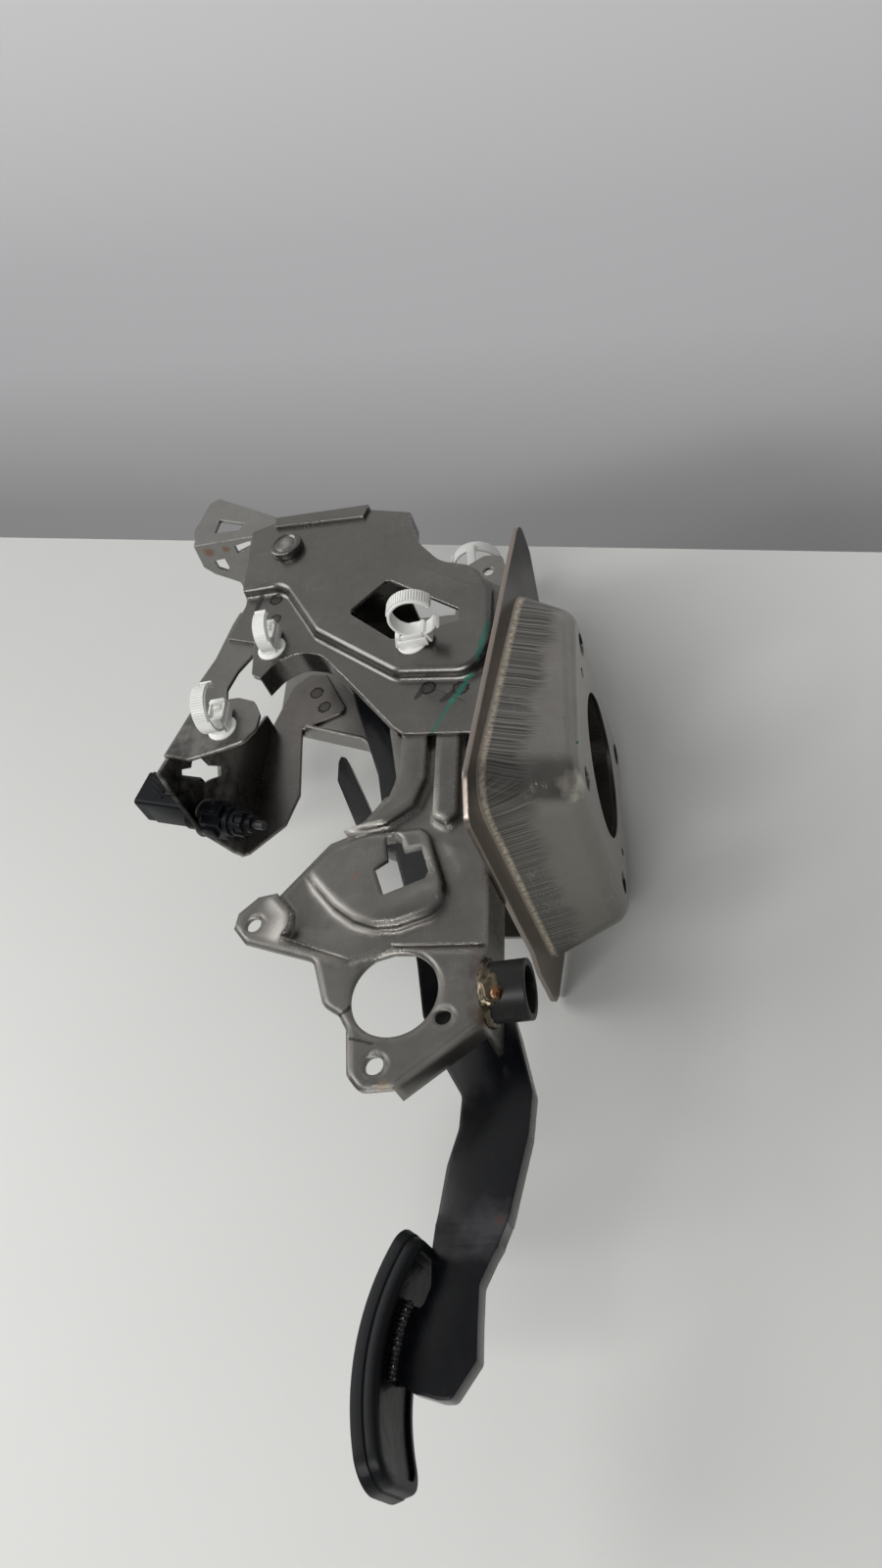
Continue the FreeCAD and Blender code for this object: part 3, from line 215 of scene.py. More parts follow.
def makeStripe():
    # a mark drawn from one point to another
    tree, board, given, result = makeGroup(
        "stripeMark",
        [("Vector", "Vector", None), ("Start", "Vector", (0, 0, 0)), ("End", "Vector", (0, 0, 0)),
         ("Width", "Float", 0.001)],
        [("Mask", "Float")])
    run = board.vector("SUBTRACT", given["End"], given["Start"])
    here = board.vector("SUBTRACT", given["Vector"], given["Start"])
    length = board.vector("DOT_PRODUCT", run, run)
    along = board.math("DIVIDE", board.vector("DOT_PRODUCT", here, run), length, clamp=True)
    nearest = board.add("ShaderNodeVectorMath", {0: run, "Scale": along}, operation="SCALE")
    away = board.vector("DISTANCE", here, nearest.outputs["Vector"])
    ragged = board.span(board.noise(given["Vector"], 420.0, 3.0), 0.3, 0.7, -0.45, 0.45)
    share = board.math("ADD", board.math("DIVIDE", away, given["Width"]), ragged)
    board.feed(result["Mask"], board.span(share, 1.1, 0.75))
    return tree


def makeStain():
    # soft uneven patch round a point; it serves real stains and also painted highlights and painted shade
    tree, board, given, result = makeGroup(
        "stainAndPaintedLightPatch",
        [("Vector", "Vector", None), ("Centre", "Vector", (0, 0, 0)), ("Reach", "Float", 0.01)],
        [("Mask", "Float")])
    away = board.vector("DISTANCE", given["Vector"], given["Centre"])
    share = board.math("DIVIDE", away, given["Reach"])
    ragged = board.span(board.noise(given["Vector"], 160.0, 4.0), 0.3, 0.7, -0.35, 0.35)
    board.feed(result["Mask"], board.span(board.math("ADD", share, ragged), 1.0, 0.25))
    return tree


mottle = makeMottle()
fineScratches = makeScratches()
edgeWear = makeEdgeWear()
spotWeld = makeSpotWeld()
stripeMark = makeStripe()
stainAndPaintedLightPatch = makeStain()
print("shader groups ready")


def newFinish(name):
    finish = bpy.data.materials.new(name)
    finish.use_nodes = True
    board = Board(finish.node_tree)
    shader = finish.node_tree.nodes["Principled BSDF"]
    return finish, board, shader


def metres(*values):
    return tuple(value / 1000 for value in values)


def toned(base, share):
    return tuple(part * share for part in base[:3]) + (1,)


def spotWelded(board, place, centre, radius):
    return board.group(spotWeld, {"Vector": place, "Centre": metres(*centre), "Radius": radius / 1000})


def striped(board, place, start, end, width):
    inputs = {"Vector": place, "Start": metres(*start), "End": metres(*end), "Width": width / 1000}
    return board.group(stripeMark, inputs)["Mask"]


def addStainsAndPaintedLight(board, place, color, stainsAndPaintedLight):
    # each patch: centre and reach in millimetres, tone, strength; some are real stains, others are painted
    # highlights or painted shade
    for centre, reach, tone, strength in stainsAndPaintedLight:
        inputs = {"Vector": place, "Centre": metres(*centre), "Reach": reach / 1000}
        patch = board.group(stainAndPaintedLightPatch, inputs)["Mask"]
        color = board.mix(board.times(patch, strength), color, tone)
    return color


sheetLook = {
    "base": (0.15, 0.144, 0.135, 1),
    "cloud": 26.0,
    "scratch": 55.0,
    "dark": 0.84,
    "pale": 1.12,
    "scratchTone": (0.42, 0.41, 0.39, 1),
    "scratchShare": 0.35,
    "wornTone": (0.5, 0.48, 0.44, 1),
    "wornShare": 0.55,
    "ringTone": (0.025, 0.022, 0.02, 1),
    "metal": 0.94,
    "grain": 900.0,
    "grainHeight": 0.25,
    "dent": 1.6,  # depth of a spot weld, in the same measure as the grain
    "bump": 0.000035,
}


def plateSteel(name, base=sheetLook["base"], rough=0.28, fold=0.0009, spots=(), stripes=(), stainsAndPaintedLight=()):
    # satin cold-rolled sheet with handling marks
    c = sheetLook
    finish, board, shader = newFinish(name)
    place = board.objectPlace()
    cloud = board.group(mottle, {"Vector": place, "Scale": c["cloud"]})["Mask"]
    lines = board.group(fineScratches, {"Vector": place, "Scale": c["scratch"]})["Mask"]
    wear = board.group(edgeWear, {"Radius": fold})
    color = board.mix(cloud, toned(base, c["dark"]), toned(base, c["pale"]))
    color = board.mix(board.times(lines, c["scratchShare"]), color, c["scratchTone"])
    color = board.mix(board.times(wear["Mask"], c["wornShare"]), color, c["wornTone"])
    roughness = board.span(cloud, 0.0, 1.0, rough - 0.05, rough + 0.07)
    height = board.times(board.noise(place, c["grain"], 2.0), c["grainHeight"])
    for centre, radius, tone in spots:
        weld = spotWelded(board, place, centre, radius)
        color = board.mix(board.times(weld["Disc"], 0.75), color, tone)
        color = board.mix(board.times(weld["Ring"], 0.9), color, c["ringTone"])
        height = board.math("SUBTRACT", height, board.times(weld["Disc"], c["dent"]))
    metal = c["metal"]
    for start, end, width, tone, strength in stripes:
        share = board.times(striped(board, place, start, end, width), strength)
        color = board.mix(share, color, tone)
        roughness = board.math("ADD", roughness, board.times(share, 0.15))  # ink is duller than the sheet
        metal = board.math("SUBTRACT", metal, board.times(share, 0.7))
    color = addStainsAndPaintedLight(board, place, color, stainsAndPaintedLight)
    board.feed(shader.inputs["Base Color"], color)
    board.feed(shader.inputs["Metallic"], metal)
    board.feed(shader.inputs["Roughness"], roughness)
    board.feed(shader.inputs["Normal"], board.bump(height, c["bump"], wear["Normal"], 0.5))
    return finish


dishLook = {
    "lean": 0.15,  # slope of the flange, which depth allows for
    "root": 0.0285,  # depth where the walls end
    "flangeFrom": 0.0305,
    "lineTop": (-0.0115, -0.0155),  # the draw lines fade out between these depths
    "lineScale": 820.0,
    "lineWander": 0.0012,
    "dark": (0.29, 0.275, 0.255, 1),
    "pale": (0.38, 0.362, 0.34, 1),
    # painted shade: the dish gets darker and more olive towards its bottom, between the heights in lowFrom
    "low": (0.17, 0.163, 0.142, 1),
    "lowFrom": (-0.025, -0.07),
    "line": (0.11, 0.104, 0.096, 1),
    "flange": (0.27, 0.225, 0.195, 1),
    # painted highlight: colour of a broken pale line along the root of the walls
    "rim": (0.75, 0.66, 0.52, 1),
    # painted highlight: a pale patch on the corner of the dish's walls
    "paintedCornerHighlight": [((-3, -55, -51), 8, (0.85, 0.8, 0.7, 1), 0.8)],
    "scratch": (0.55, 0.53, 0.5, 1),
    "worn": (0.6, 0.56, 0.5, 1),
    "mark": ((4, -54, -26), (-2, -56, -31), 0.9),  # start, end and width of a short green mark
    "markTone": (0.0, 0.12, 0.09, 1),
    "welds": [(-35, -68, -62), (-36, -66, -72)],
    "weldRadius": 3.2,
    "weldTone": (0.05, 0.04, 0.035, 1),
    # painted shade: dark tone for faces that look in toward the dish's axis
    "inside": (0.02, 0.019, 0.018, 1),
    "metal": 0.95,
    "bump": 0.00014,
}


def dishSteel():
    # deep-drawn sheet: draw lines from the root to the middle of the walls, brown flange, worn edges; also
    # a painted highlight on a corner and along the root, and painted shade inside and on the lower walls
    c = dishLook
    finish, board, shader = newFinish("drawnDish")
    place = board.objectPlace()
    split = board.split(place)
    facing = board.split(board.facing())
    sideways = board.math("ABSOLUTE", facing["Y"])
    upright = board.math("ABSOLUTE", facing["Z"])
    wall = board.span(board.math("SUBTRACT", upright, sideways), -0.35, 0.35)
    lines = []
    for axis in ("Z", "Y"):
        wander = board.times(board.noise(place, 60.0, 1.0), c["lineWander"])
        lines.append(board.lineNoise(board.math("ADD", split[axis], wander), c["lineScale"], 3.0))
    line = board.add("ShaderNodeMix", {0: wall, 2: lines[0], 3: lines[1]}).outputs[0]
    depth = board.math("SUBTRACT", split["X"], board.times(split["Z"], c["lean"]))
    reach = board.math("ADD", depth, board.span(line, 0.3, 0.7, -0.004, 0.004))
    reach = board.math("ADD", reach, board.span(board.noise(place, 45.0, 2.0), 0.3, 0.7, -0.003, 0.003))
    drawn = board.times(board.span(reach, *c["lineTop"]), board.span(depth, -c["flangeFrom"], -c["root"]))
    flat = board.span(depth, -c["root"], -c["flangeFrom"])
    cloud = board.group(mottle, {"Vector": place, "Scale": 30.0})["Mask"]
    wear = board.group(edgeWear, {"Radius": 0.0012})
    scratch = board.group(fineScratches, {"Vector": place, "Scale": 48.0})["Mask"]
    # painted shade: faces turned in toward the dish's axis are darkened, as the dish's inside lies in
    # shadow
    radial = board.vector("MULTIPLY", place, (0, 1, 1))
    inside = board.span(board.vector("DOT_PRODUCT", radial, board.facing()), 0.0, -0.008)
    color = board.mix(cloud, c["dark"], c["pale"])
    # painted shade: darker and more olive towards the dish's bottom
    color = board.mix(board.times(board.span(split["Z"], *c["lowFrom"]), 0.8), color, c["low"])
    color = board.mix(board.times(drawn, board.span(line, 0.38, 0.6)), color, c["line"])
    color = board.mix(board.times(flat, 0.8), color, c["flange"])
    # painted highlight: a broken pale line where the walls meet the flange
    root = board.math("ABSOLUTE", board.math("ADD", depth, c["root"]))
    broken = board.span(board.noise(place, 500.0, 2.0), 0.35, 0.6, 0.35, 1.0)
    rim = board.times(board.span(root, 0.0016, 0.0004), broken)
    color = board.mix(board.times(rim, 0.8), color, c["rim"])
    # painted highlight on the corner of the walls
    color = addStainsAndPaintedLight(board, place, color, c["paintedCornerHighlight"])
    color = board.mix(board.times(scratch, 0.4), color, c["scratch"])
    color = board.mix(board.times(wear["Mask"], 0.4), color, c["worn"])
    color = board.mix(board.times(striped(board, place, *c["mark"]), 0.85), color, c["markTone"])
    for centre in c["welds"]:
        weld = spotWelded(board, place, centre, c["weldRadius"])
        color = board.mix(board.times(weld["Ring"], 0.7), color, c["weldTone"])
    color = board.mix(board.times(inside, 0.9), color, c["inside"])
    board.feed(shader.inputs["Base Color"], color)
    shader.inputs["Metallic"].default_value = c["metal"]
    rough = board.span(cloud, 0.0, 1.0, 0.27, 0.36)
    board.feed(shader.inputs["Roughness"], board.math("ADD", rough, board.times(drawn, 0.08)))
    height = board.math("ADD", board.times(line, drawn), board.times(scratch, -0.3))
    board.feed(shader.inputs["Normal"], board.bump(height, c["bump"], wear["Normal"], 0.8))
    return finish


def plainFinish(name, base, rough, metal=0.0, grain=600.0, depth=0.00004, radius=0.0006, vary=0.25,
                scratch=0.2, light=(0.3, 0.3, 0.3, 1), edge=0.25, gloss=0.5, stainsAndPaintedLight=()):
    # paint, rubber or plastic with fine grain, slight change of tone and rubbed edges
    finish, board, shader = newFinish(name)
    place = board.objectPlace()
    cloud = board.group(mottle, {"Vector": place, "Scale": 40.0})["Mask"]
    lines = board.group(fineScratches, {"Vector": place, "Scale": 70.0})["Mask"]
    wear = board.group(edgeWear, {"Radius": radius})
    color = board.mix(cloud, toned(base, 1 - vary), toned(base, 1 + vary))
    color = board.mix(board.times(lines, scratch), color, light)
    color = board.mix(board.times(wear["Mask"], edge), color, light)
    color = addStainsAndPaintedLight(board, place, color, stainsAndPaintedLight)
    board.feed(shader.inputs["Base Color"], color)
    shader.inputs["Metallic"].default_value = metal
    board.feed(shader.inputs["Roughness"], board.span(cloud, 0.0, 1.0, rough - 0.05, rough + 0.06))
    shader.inputs["Specular IOR Level"].default_value = gloss
    height = board.noise(place, grain, 3.0)
    board.feed(shader.inputs["Normal"], board.bump(height, depth, wear["Normal"], 0.8))
    return finish


def dress(finish, *names):
    for name in names:
        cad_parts[name].material_slots[0].material = finish


darkRing = (0.075, 0.07, 0.066, 1)
penMark = (0.012, 0.012, 0.012, 1)
greenMark = (0.0, 0.13, 0.09, 1)
# painted shade: dark line along the step in the upper plate, whose wall lies in shadow
creaseShade = (0.08, 0.078, 0.075, 1)
purpleTint = (0.09, 0.068, 0.068, 1)
strawTint = (0.33, 0.24, 0.15, 1)
rustTone = (0.22, 0.07, 0.02, 1)

upperMarks = {
    # centre, radius and tone
    "spots": [((-72, -42, 28), 3.7, darkRing), ((-56.3, -42, 24.3), 3.9, darkRing),
              ((-159.5, -42, 110), 3.5, darkRing), ((-158.1, -42, 95.3), 3.2, darkRing)],
    # start, end, width, tone and strength
    "stripes": [((-41, -48, 60), (-47, -48, 35), 1.5, greenMark, 0.75),
                ((-49, -42, 35), (-60, -42, 17.9), 1.6, greenMark, 0.8),
                ((-60, -42, 17.9), (-69.3, -42, 0), 1.0, greenMark, 0.75),
                ((-167.5, -42, 116), (-170, -42, 106), 1.7, penMark, 0.9),
                ((-75, -42, 28.5), (-77, -42, 23.5), 1.5, penMark, 0.9),
                ((-60, -42, 22.4), (-64.5, -42, 18.6), 1.7, penMark, 0.9),
                ((-71.6, -42, 29), (-53.7, -42, 15.4), 0.35, penMark, 0.6),
                # painted shade along the plate's step
                ((-112.4, -48, 137.7), (-99.3, -48, 123.2), 0.7, creaseShade, 0.5),
                ((-99.3, -48, 123.2), (-66.7, -48, 96.9), 0.6, creaseShade, 0.5),
                ((-66.7, -48, 96.9), (-40, -48, 76), 0.6, creaseShade, 0.4)],
}
lowerMarks = {
    "stripes": [((-102.2, -37.5, -131.7), (-97.2, -37.5, -127.6), 0.9, penMark, 0.9),
                ((-97.2, -37.5, -142.1), (-88.1, -37.5, -145.1), 0.7, penMark, 0.9),
                ((-101.5, -40, -71), (-99.7, -40, -67.5), 0.8, (0.16, 0.07, 0.035, 1), 0.6)],
    # centre, reach, tone and strength
    "stainsAndPaintedLight": [((-44, -36, -119), 11, purpleTint, 0.8),
               ((-43, -37, -137), 10, (0.10, 0.075, 0.055, 1), 0.85),
               ((-82, -37.5, -162), 3, strawTint, 0.5)],
}
dashRust = [((-209, -40, 164), 4, rustTone, 0.6), ((-198, -40, 163), 3, rustTone, 0.6)]
# painted shade: a dark patch inside the switch bracket, which lies in shadow
strapShade = [((-200, -8, 2), 44, (0.018, 0.017, 0.016, 1), 0.95)]
braceSpots = [((-168, 34, 112), 4.0, darkRing), ((-162, 34, 100), 3.8, darkRing)]

dress(plateSteel("upperPlateSteel", **upperMarks), "right_side_plate")
lowerSteel = plateSteel("lowerPlateSteel", base=(0.165, 0.158, 0.147, 1), fold=0.0042, **lowerMarks)
dress(lowerSteel, "right_lower_plate")
dress(plateSteel("sheetSteel"), "top_web")
# painted light: the far plate's steel is given a paler tone than the near plates, so that it doesn't sink
# into the shade it lies in
dress(plateSteel("farSteelPaintedPale", base=(0.24, 0.23, 0.215, 1), rough=0.34, fold=0.0016), "left_side_plate")
dress(plateSteel("dashSteel", base=(0.24, 0.235, 0.225, 1), stainsAndPaintedLight=dashRust), "dash_bracket")
dress(plateSteel("strapSteel", base=(0.19, 0.184, 0.174, 1), fold=0.0015, stainsAndPaintedLight=strapShade),
      "switch_bracket")
dress(plateSteel("braceSteel", base=(0.17, 0.16, 0.152, 1), spots=braceSpots), "switch_brace")
dress(dishSteel(), "firewall_dish")

armPaint = plainFinish(
    "armPaint", (0.002, 0.0024, 0.0035, 1), 0.25, grain=300.0, radius=0.0015, light=(0.03, 0.03, 0.034, 1),
    scratch=0.08, gloss=0.45,
    # the first patch is a painted highlight, a paler band across the arm's sideways bend; the second is a
    # small reddish speck of worn paint
    stainsAndPaintedLight=[((-50, -5, -207), 15, (0.045, 0.045, 0.05, 1), 0.6),
            ((-46, -5, -203), 3, (0.06, 0.025, 0.02, 1), 0.5)])
padPaint = plainFinish(
    "padPlatePaint", (0.003, 0.0035, 0.005, 1), 0.24, grain=120.0, depth=0.0003, gloss=0.06, edge=0.05,
    scratch=0.05)
weldPaint = plainFinish("weldPaint", (0.006, 0.0065, 0.008, 1), 0.14, grain=260.0, depth=0.0003)
padRubber = plainFinish(
    "padRubber", (0.005, 0.0055, 0.0065, 1), 0.44, grain=1200.0, light=(0.03, 0.03, 0.033, 1), gloss=0.16)
switchPlastic = plainFinish(
    "switchPlastic", (0.005, 0.0055, 0.007, 1), 0.36, grain=1500.0, depth=0.00002,
    light=(0.035, 0.035, 0.04, 1), gloss=0.12)
plungerPlastic = plainFinish("plungerPlastic", (0.02, 0.02, 0.022, 1), 0.4, grain=1500.0, depth=0.00002)
seatPlastic = plainFinish("seatPlastic", (0.13, 0.125, 0.115, 1), 0.35, metal=0.6)
terminalBrass = plainFinish(
    "terminalBrass", (0.62, 0.5, 0.28, 1), 0.3, metal=1.0, grain=800.0, depth=0.00002)
bushPlastic = plainFinish("bushPlastic", (0.06, 0.058, 0.05, 1), 0.45)
pinSteel = plainFinish(
    "pinSteel", (0.13, 0.125, 0.118, 1), 0.28, metal=0.95, light=(0.7, 0.68, 0.62, 1), edge=0.6,
    stainsAndPaintedLight=[((-154, -52.5, 141), 6, (0.45, 0.43, 0.4, 1), 0.6)])
collarPaint = plainFinish(
    "collarPaint", (0.014, 0.0138, 0.0135, 1), 0.42, metal=0.3, light=(0.2, 0.2, 0.19, 1), edge=0.55,
    gloss=0.3)
beadSteel = plainFinish(
    "collarBead", (0.11, 0.088, 0.058, 1), 0.24, metal=0.8, grain=350.0, depth=0.0003, vary=0.6,
    light=(0.6, 0.5, 0.35, 1),
    stainsAndPaintedLight=[((-37, -45, -133), 3, (0.35, 0.12, 0.02, 1), 0.7),
            ((-42, -40, -117), 8, (0.03, 0.025, 0.025, 1), 0.8)])
clipNylon = plainFinish(
    "clipNylon", (0.82, 0.82, 0.79, 1), 0.36, grain=500.0, vary=0.05, light=(0.85, 0.85, 0.83, 1), edge=0.2,
    stainsAndPaintedLight=[((-62, -70, 53), 4, (0.35, 0.25, 0.14, 1), 0.6),
            ((-66, 60, 222), 8, (0.5, 0.38, 0.22, 1), 0.5)])
dress(armPaint, "pedal_arm", "pivot_tube")
dress(padPaint, "pad_plate")
dress(weldPaint, "pad_weld")
dress(padRubber, "pad_rubber")
dress(switchPlastic, "switch_body", "switch_lock")
dress(plungerPlastic, "switch_plunger")
dress(terminalBrass, "switch_terminals")
dress(bushPlastic, "right_bush", "left_bush")
dress(pinSteel, "pivot_pin", "pivot_nut")
dress(collarPaint, "collar_tube")
dress(beadSteel, "collar_weld")
dress(clipNylon, "clip_by_window", "clip_by_arch", "clip_on_strap", "clip_on_ear")
print("finishes dressed")

soften = {"width": 0.0005, "segments": 2, "angle": 38, "merge": 0.000001, "flat": 0.5}


def softEdges(*names):
    # joins a node's loose triangles, makes its flat faces whole and rounds its sheet edges
    for name in names:
        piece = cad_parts[name]
        weld = piece.modifiers.new("weld", "WELD")
        weld.merge_threshold = soften["merge"]
        flat = piece.modifiers.new("flat", "DECIMATE")
        flat.decimate_type = "DISSOLVE"
        flat.angle_limit = math.radians(soften["flat"])
        bevel = piece.modifiers.new("bevel", "BEVEL")
        bevel.width = soften["width"]
        bevel.segments = soften["segments"]
        bevel.limit_method = "ANGLE"
        bevel.angle_limit = math.radians(soften["angle"])
        piece.modifiers.new("shading", "WEIGHTED_NORMAL")


softEdges("right_side_plate", "left_side_plate", "top_web", "dash_bracket", "switch_bracket",
          "switch_brace", "firewall_dish", "collar_tube", "pad_plate")
print("sheet edges softened")

millimetre = 0.001


def finished(name, mesh, body, slot, finish, *nodes, unit=millimetre, angle=35):
    # turns a bmesh into a piece that rides a body
    bmesh.ops.scale(mesh, vec=(unit, unit, unit), verts=mesh.verts)
    bmesh.ops.recalc_face_normals(mesh, faces=mesh.faces)
    data = bpy.data.meshes.new(name)
    mesh.to_mesh(data)
    mesh.free()
    for polygon in data.polygons:
        polygon.use_smooth = True
    data.set_sharp_from_angle(angle=math.radians(angle))
    piece = bpy.data.objects.new(name, data)
    bpy.context.collection.objects.link(piece)
    data.materials.append(finish)
    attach(piece, body)
    if nodes:
        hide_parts(*nodes)


merging = {"near": 0.000002, "flat": 0.6}


def mergedCopy(name):
    # a CAD node's shape with its loose triangles joined and its flat faces made whole
    mesh = bmesh.new()
    mesh.from_mesh(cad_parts[name].data)
    bmesh.ops.remove_doubles(mesh, verts=mesh.verts, dist=merging["near"])
    bmesh.ops.dissolve_limit(mesh, angle_limit=math.radians(merging["flat"]), verts=mesh.verts,
                             edges=mesh.edges)
    return mesh


def bevelEdges(mesh, edges, width, segments):
    bmesh.ops.bevel(mesh, geom=edges, offset=width, affect="EDGES", segments=segments, profile=0.5,
                    material=-1, clamp_overlap=True)


def bevelSharp(mesh, width, segments, angle):
    sharp = [edge for edge in mesh.edges if len(edge.link_faces) == 2
             and edge.calc_face_angle() > math.radians(angle)]
    bevelEdges(mesh, sharp, width, segments)


def roundCorners(mesh, corner):
    # rounds the corners across the sheet in an outline that was drawn with straight runs
    low, high = (math.radians(angle) for angle in corner["angles"])
    across = 0.98  # least share of an edge's length that runs across the car
    found = []
    for edge in mesh.edges:
        run = edge.verts[1].co - edge.verts[0].co
        if len(edge.link_faces) == 2 and abs(run.y) > across * run.length:
            wide = min(face.calc_area() for face in edge.link_faces) > corner["leastArea"]
            if wide and low < edge.calc_face_angle() < high:
                found.append(edge)
    bevelEdges(mesh, found, corner["width"], corner["segments"])


def acrossSpan(face):
    heights = [vert.co.y for vert in face.verts]
    return max(heights) - min(heights)


stepRule = {"near": 0.00003, "flat": 0.0001, "least": 0.0023, "most": 0.0058, "angle": 20}


def stepEdges(mesh, level, convex):
    # edges at one level across the car, between a flat face and the wall of a pressed step
    c = stepRule
    found = []
    for edge in mesh.edges:
        if len(edge.link_faces) != 2 or any(abs(vert.co.y - level) > c["near"] for vert in edge.verts):
            continue
        spans = sorted(acrossSpan(face) for face in edge.link_faces)
        if spans[0] < c["flat"] and c["least"] < spans[1] < c["most"] and edge.is_convex == convex:
            if edge.calc_face_angle() > math.radians(c["angle"]):
                found.append(edge)
    return found


def cutRows(mesh, start, end, rows, along):
    # parallel cuts, so that a bend has enough faces to be round
    for row in range(rows + 1):
        place = Vector(along) * (start + (end - start) * row / rows)
        bmesh.ops.bisect_plane(mesh, geom=mesh.verts[:] + mesh.edges[:] + mesh.faces[:], dist=0.0000005,
                               plane_co=place, plane_no=along)


def spunRing(mesh, profile, place, steps=48, start=0.0, sweep=360.0):
    # spins a profile of (radius, height) about the local Z axis, and closes the ends of a part turn
    points = [mesh.verts.new((radius, 0, height)) for radius, height in profile]
    edges = [mesh.edges.new(pair) for pair in zip(points, points[1:])]
    whole = sweep >= 360
    if not whole:
        edges.append(mesh.edges.new((points[-1], points[0])))
    bmesh.ops.rotate(mesh, verts=points, cent=(0, 0, 0),
                     matrix=Matrix.Rotation(math.radians(start), 3, "Z"))
    before = set(mesh.verts) - set(points)
    bmesh.ops.spin(mesh, geom=points + edges, cent=(0, 0, 0), axis=(0, 0, 1), angle=math.radians(sweep),
                   steps=steps, use_merge=whole, use_duplicate=False)
    grown = [vert for vert in mesh.verts if vert not in before]
    if not whole:
        rims = {edge for vert in grown for edge in vert.link_edges if edge.is_boundary}
        bmesh.ops.holes_fill(mesh, edges=list(rims), sides=0)
    bmesh.ops.remove_doubles(mesh, verts=grown, dist=0.0001)
    grown = [vert for vert in mesh.verts if vert not in before]
    bmesh.ops.transform(mesh, matrix=place, verts=grown)


def block(mesh, size, place, bevel=0.0):
    made = bmesh.ops.create_cube(mesh, size=1.0, matrix=place @ Matrix.Diagonal((*size, 1)))
    if bevel:
        edges = list({edge for vert in made["verts"] for edge in vert.link_edges})
        bevelEdges(mesh, edges, bevel, 2)


def lump(mesh, centre, size, rough, seed, detail):
    # one bead of weld, uneven all round
    made = bmesh.ops.create_icosphere(mesh, subdivisions=detail, radius=1.0)
    for vert in made["verts"]:
        shift = noise.noise(vert.co * 1.7 + Vector((seed, seed * 0.7, 0)))
        vert.co = vert.co * (1 + rough * shift)
        vert.co = Vector([part * reach for part, reach in zip(vert.co, size)]) + Vector(centre)


def axes(origin, along, up):
    # a frame whose Z axis runs along and whose X axis leans toward up
    third = Vector(along).normalized()
    first = (Vector(up) - third * Vector(up).dot(third)).normalized()
    turn = Matrix((first, third.cross(first), third)).transposed()
    return Matrix.Translation(Vector(origin)) @ turn.to_4x4()


def shifted(place, x, y, z):
    return place @ Matrix.Translation((x, y, z))


def turnedBy(degrees, axis):
    return Matrix.Rotation(math.radians(degrees), 4, axis)


def within(value):
    return min(1, max(0, value))


pedalArm = {
    "bendTop": -0.1985,
    "bendLow": -0.2180,
    "straightTop": -0.2035,  # the bend of the solid that this piece replaces
    "straightLow": -0.2130,
    "set": -0.004,
    "rows": 16,
    "edge": 0.0012,
    "edgeAngle": 50,
    "corner": {"width": 0.011, "segments": 5, "angles": (3, 50), "leastArea": 0.000010},
}


def makeArm():
    # the plate arm with its sideways bend made smooth and its edges rounded
    c = pedalArm
    mesh = mergedCopy("pedal_arm")
    roundCorners(mesh, c["corner"])
    bevelSharp(mesh, c["edge"], 3, c["edgeAngle"])
    cutRows(mesh, c["bendTop"], c["bendLow"], c["rows"], (0, 0, 1))
    for vert in mesh.verts:
        share = within((c["bendTop"] - vert.co.z) / (c["bendTop"] - c["bendLow"]))
        straight = within((c["straightTop"] - vert.co.z) / (c["straightTop"] - c["straightLow"]))
        vert.co.y += c["set"] * (share * share * (3 - 2 * share) - straight)
    finished("armPlate", mesh, "pedal", "arm_black", armPaint, "pedal_arm", unit=1.0)


padCover = {
    "centre": (-1.6, -259.0),  # centre of the curve
    "radius": 90.0,
    "upper": 146.0,  # angles of the two ends
    "lower": 201.0,
    "half": 19.75,
    "middle": -4.75,
    "lowCorner": 11.0,
    "topCorner": 6.5,
    "cornerSegments": 8,
    "inward": -0.7,  # where the drawn outline starts
    # each step of the side: change of the outline, depth
    "steps": [(0.45, 0.3), (0.25, 0.7), (0.05, 3.3), (-0.55, 0.25), (0, 0.35), (0.2, 0.4), (0.1, 2.2),
              (-0.1, 0.6), (-0.45, 0.7), (-0.8, 0.45), (-2.4, 0.15), (-0.5, -0.3), (-0.1, -1.4)],
    "frontEdge": -2.2,  # plain margin round the ribbed front
    "ribs": 11,
    "ribStart": 7.0,
    "ribEnd": 9.0,
    "grooveWidth": 2.0,
    "grooveSide": 0.35,
    "grooveDepth": 1.1,
    "rows": 28,
    "rowMargin": 2.0,
    # room for the arm behind: the depth there, what it gains along the cover and beside the arm
    "notch": {"middle": 4, "half": 6.5, "side": 3, "depth": 4.4, "gain": 0.4, "rise": 6},
}


def moveOutline(verts, amount, length):
    # moves a rounded outline in or out
    c = padCover
    tiny = 0.001
    for vert in verts:
        corner = c["topCorner"] if vert.co.x < length / 2 else c["lowCorner"]
        x = min(max(vert.co.x, c["topCorner"]), length - c["lowCorner"])
        y = min(max(vert.co.y, corner - c["half"]), c["half"] - corner)
        away = Vector((vert.co.x - x, vert.co.y - y, 0))
        if away.length > tiny:
            vert.co += away.normalized() * amount


def pulledUp(mesh, faces, amount, rise, length):
    made = bmesh.ops.extrude_face_region(mesh, geom=faces)
    bmesh.ops.delete(mesh, geom=faces, context="FACES_ONLY")
    verts = [item for item in made["geom"] if isinstance(item, bmesh.types.BMVert)]
    moveOutline(verts, amount, length)
    bmesh.ops.translate(mesh, vec=(0, 0, rise), verts=verts)
    return [item for item in made["geom"] if isinstance(item, bmesh.types.BMFace)]


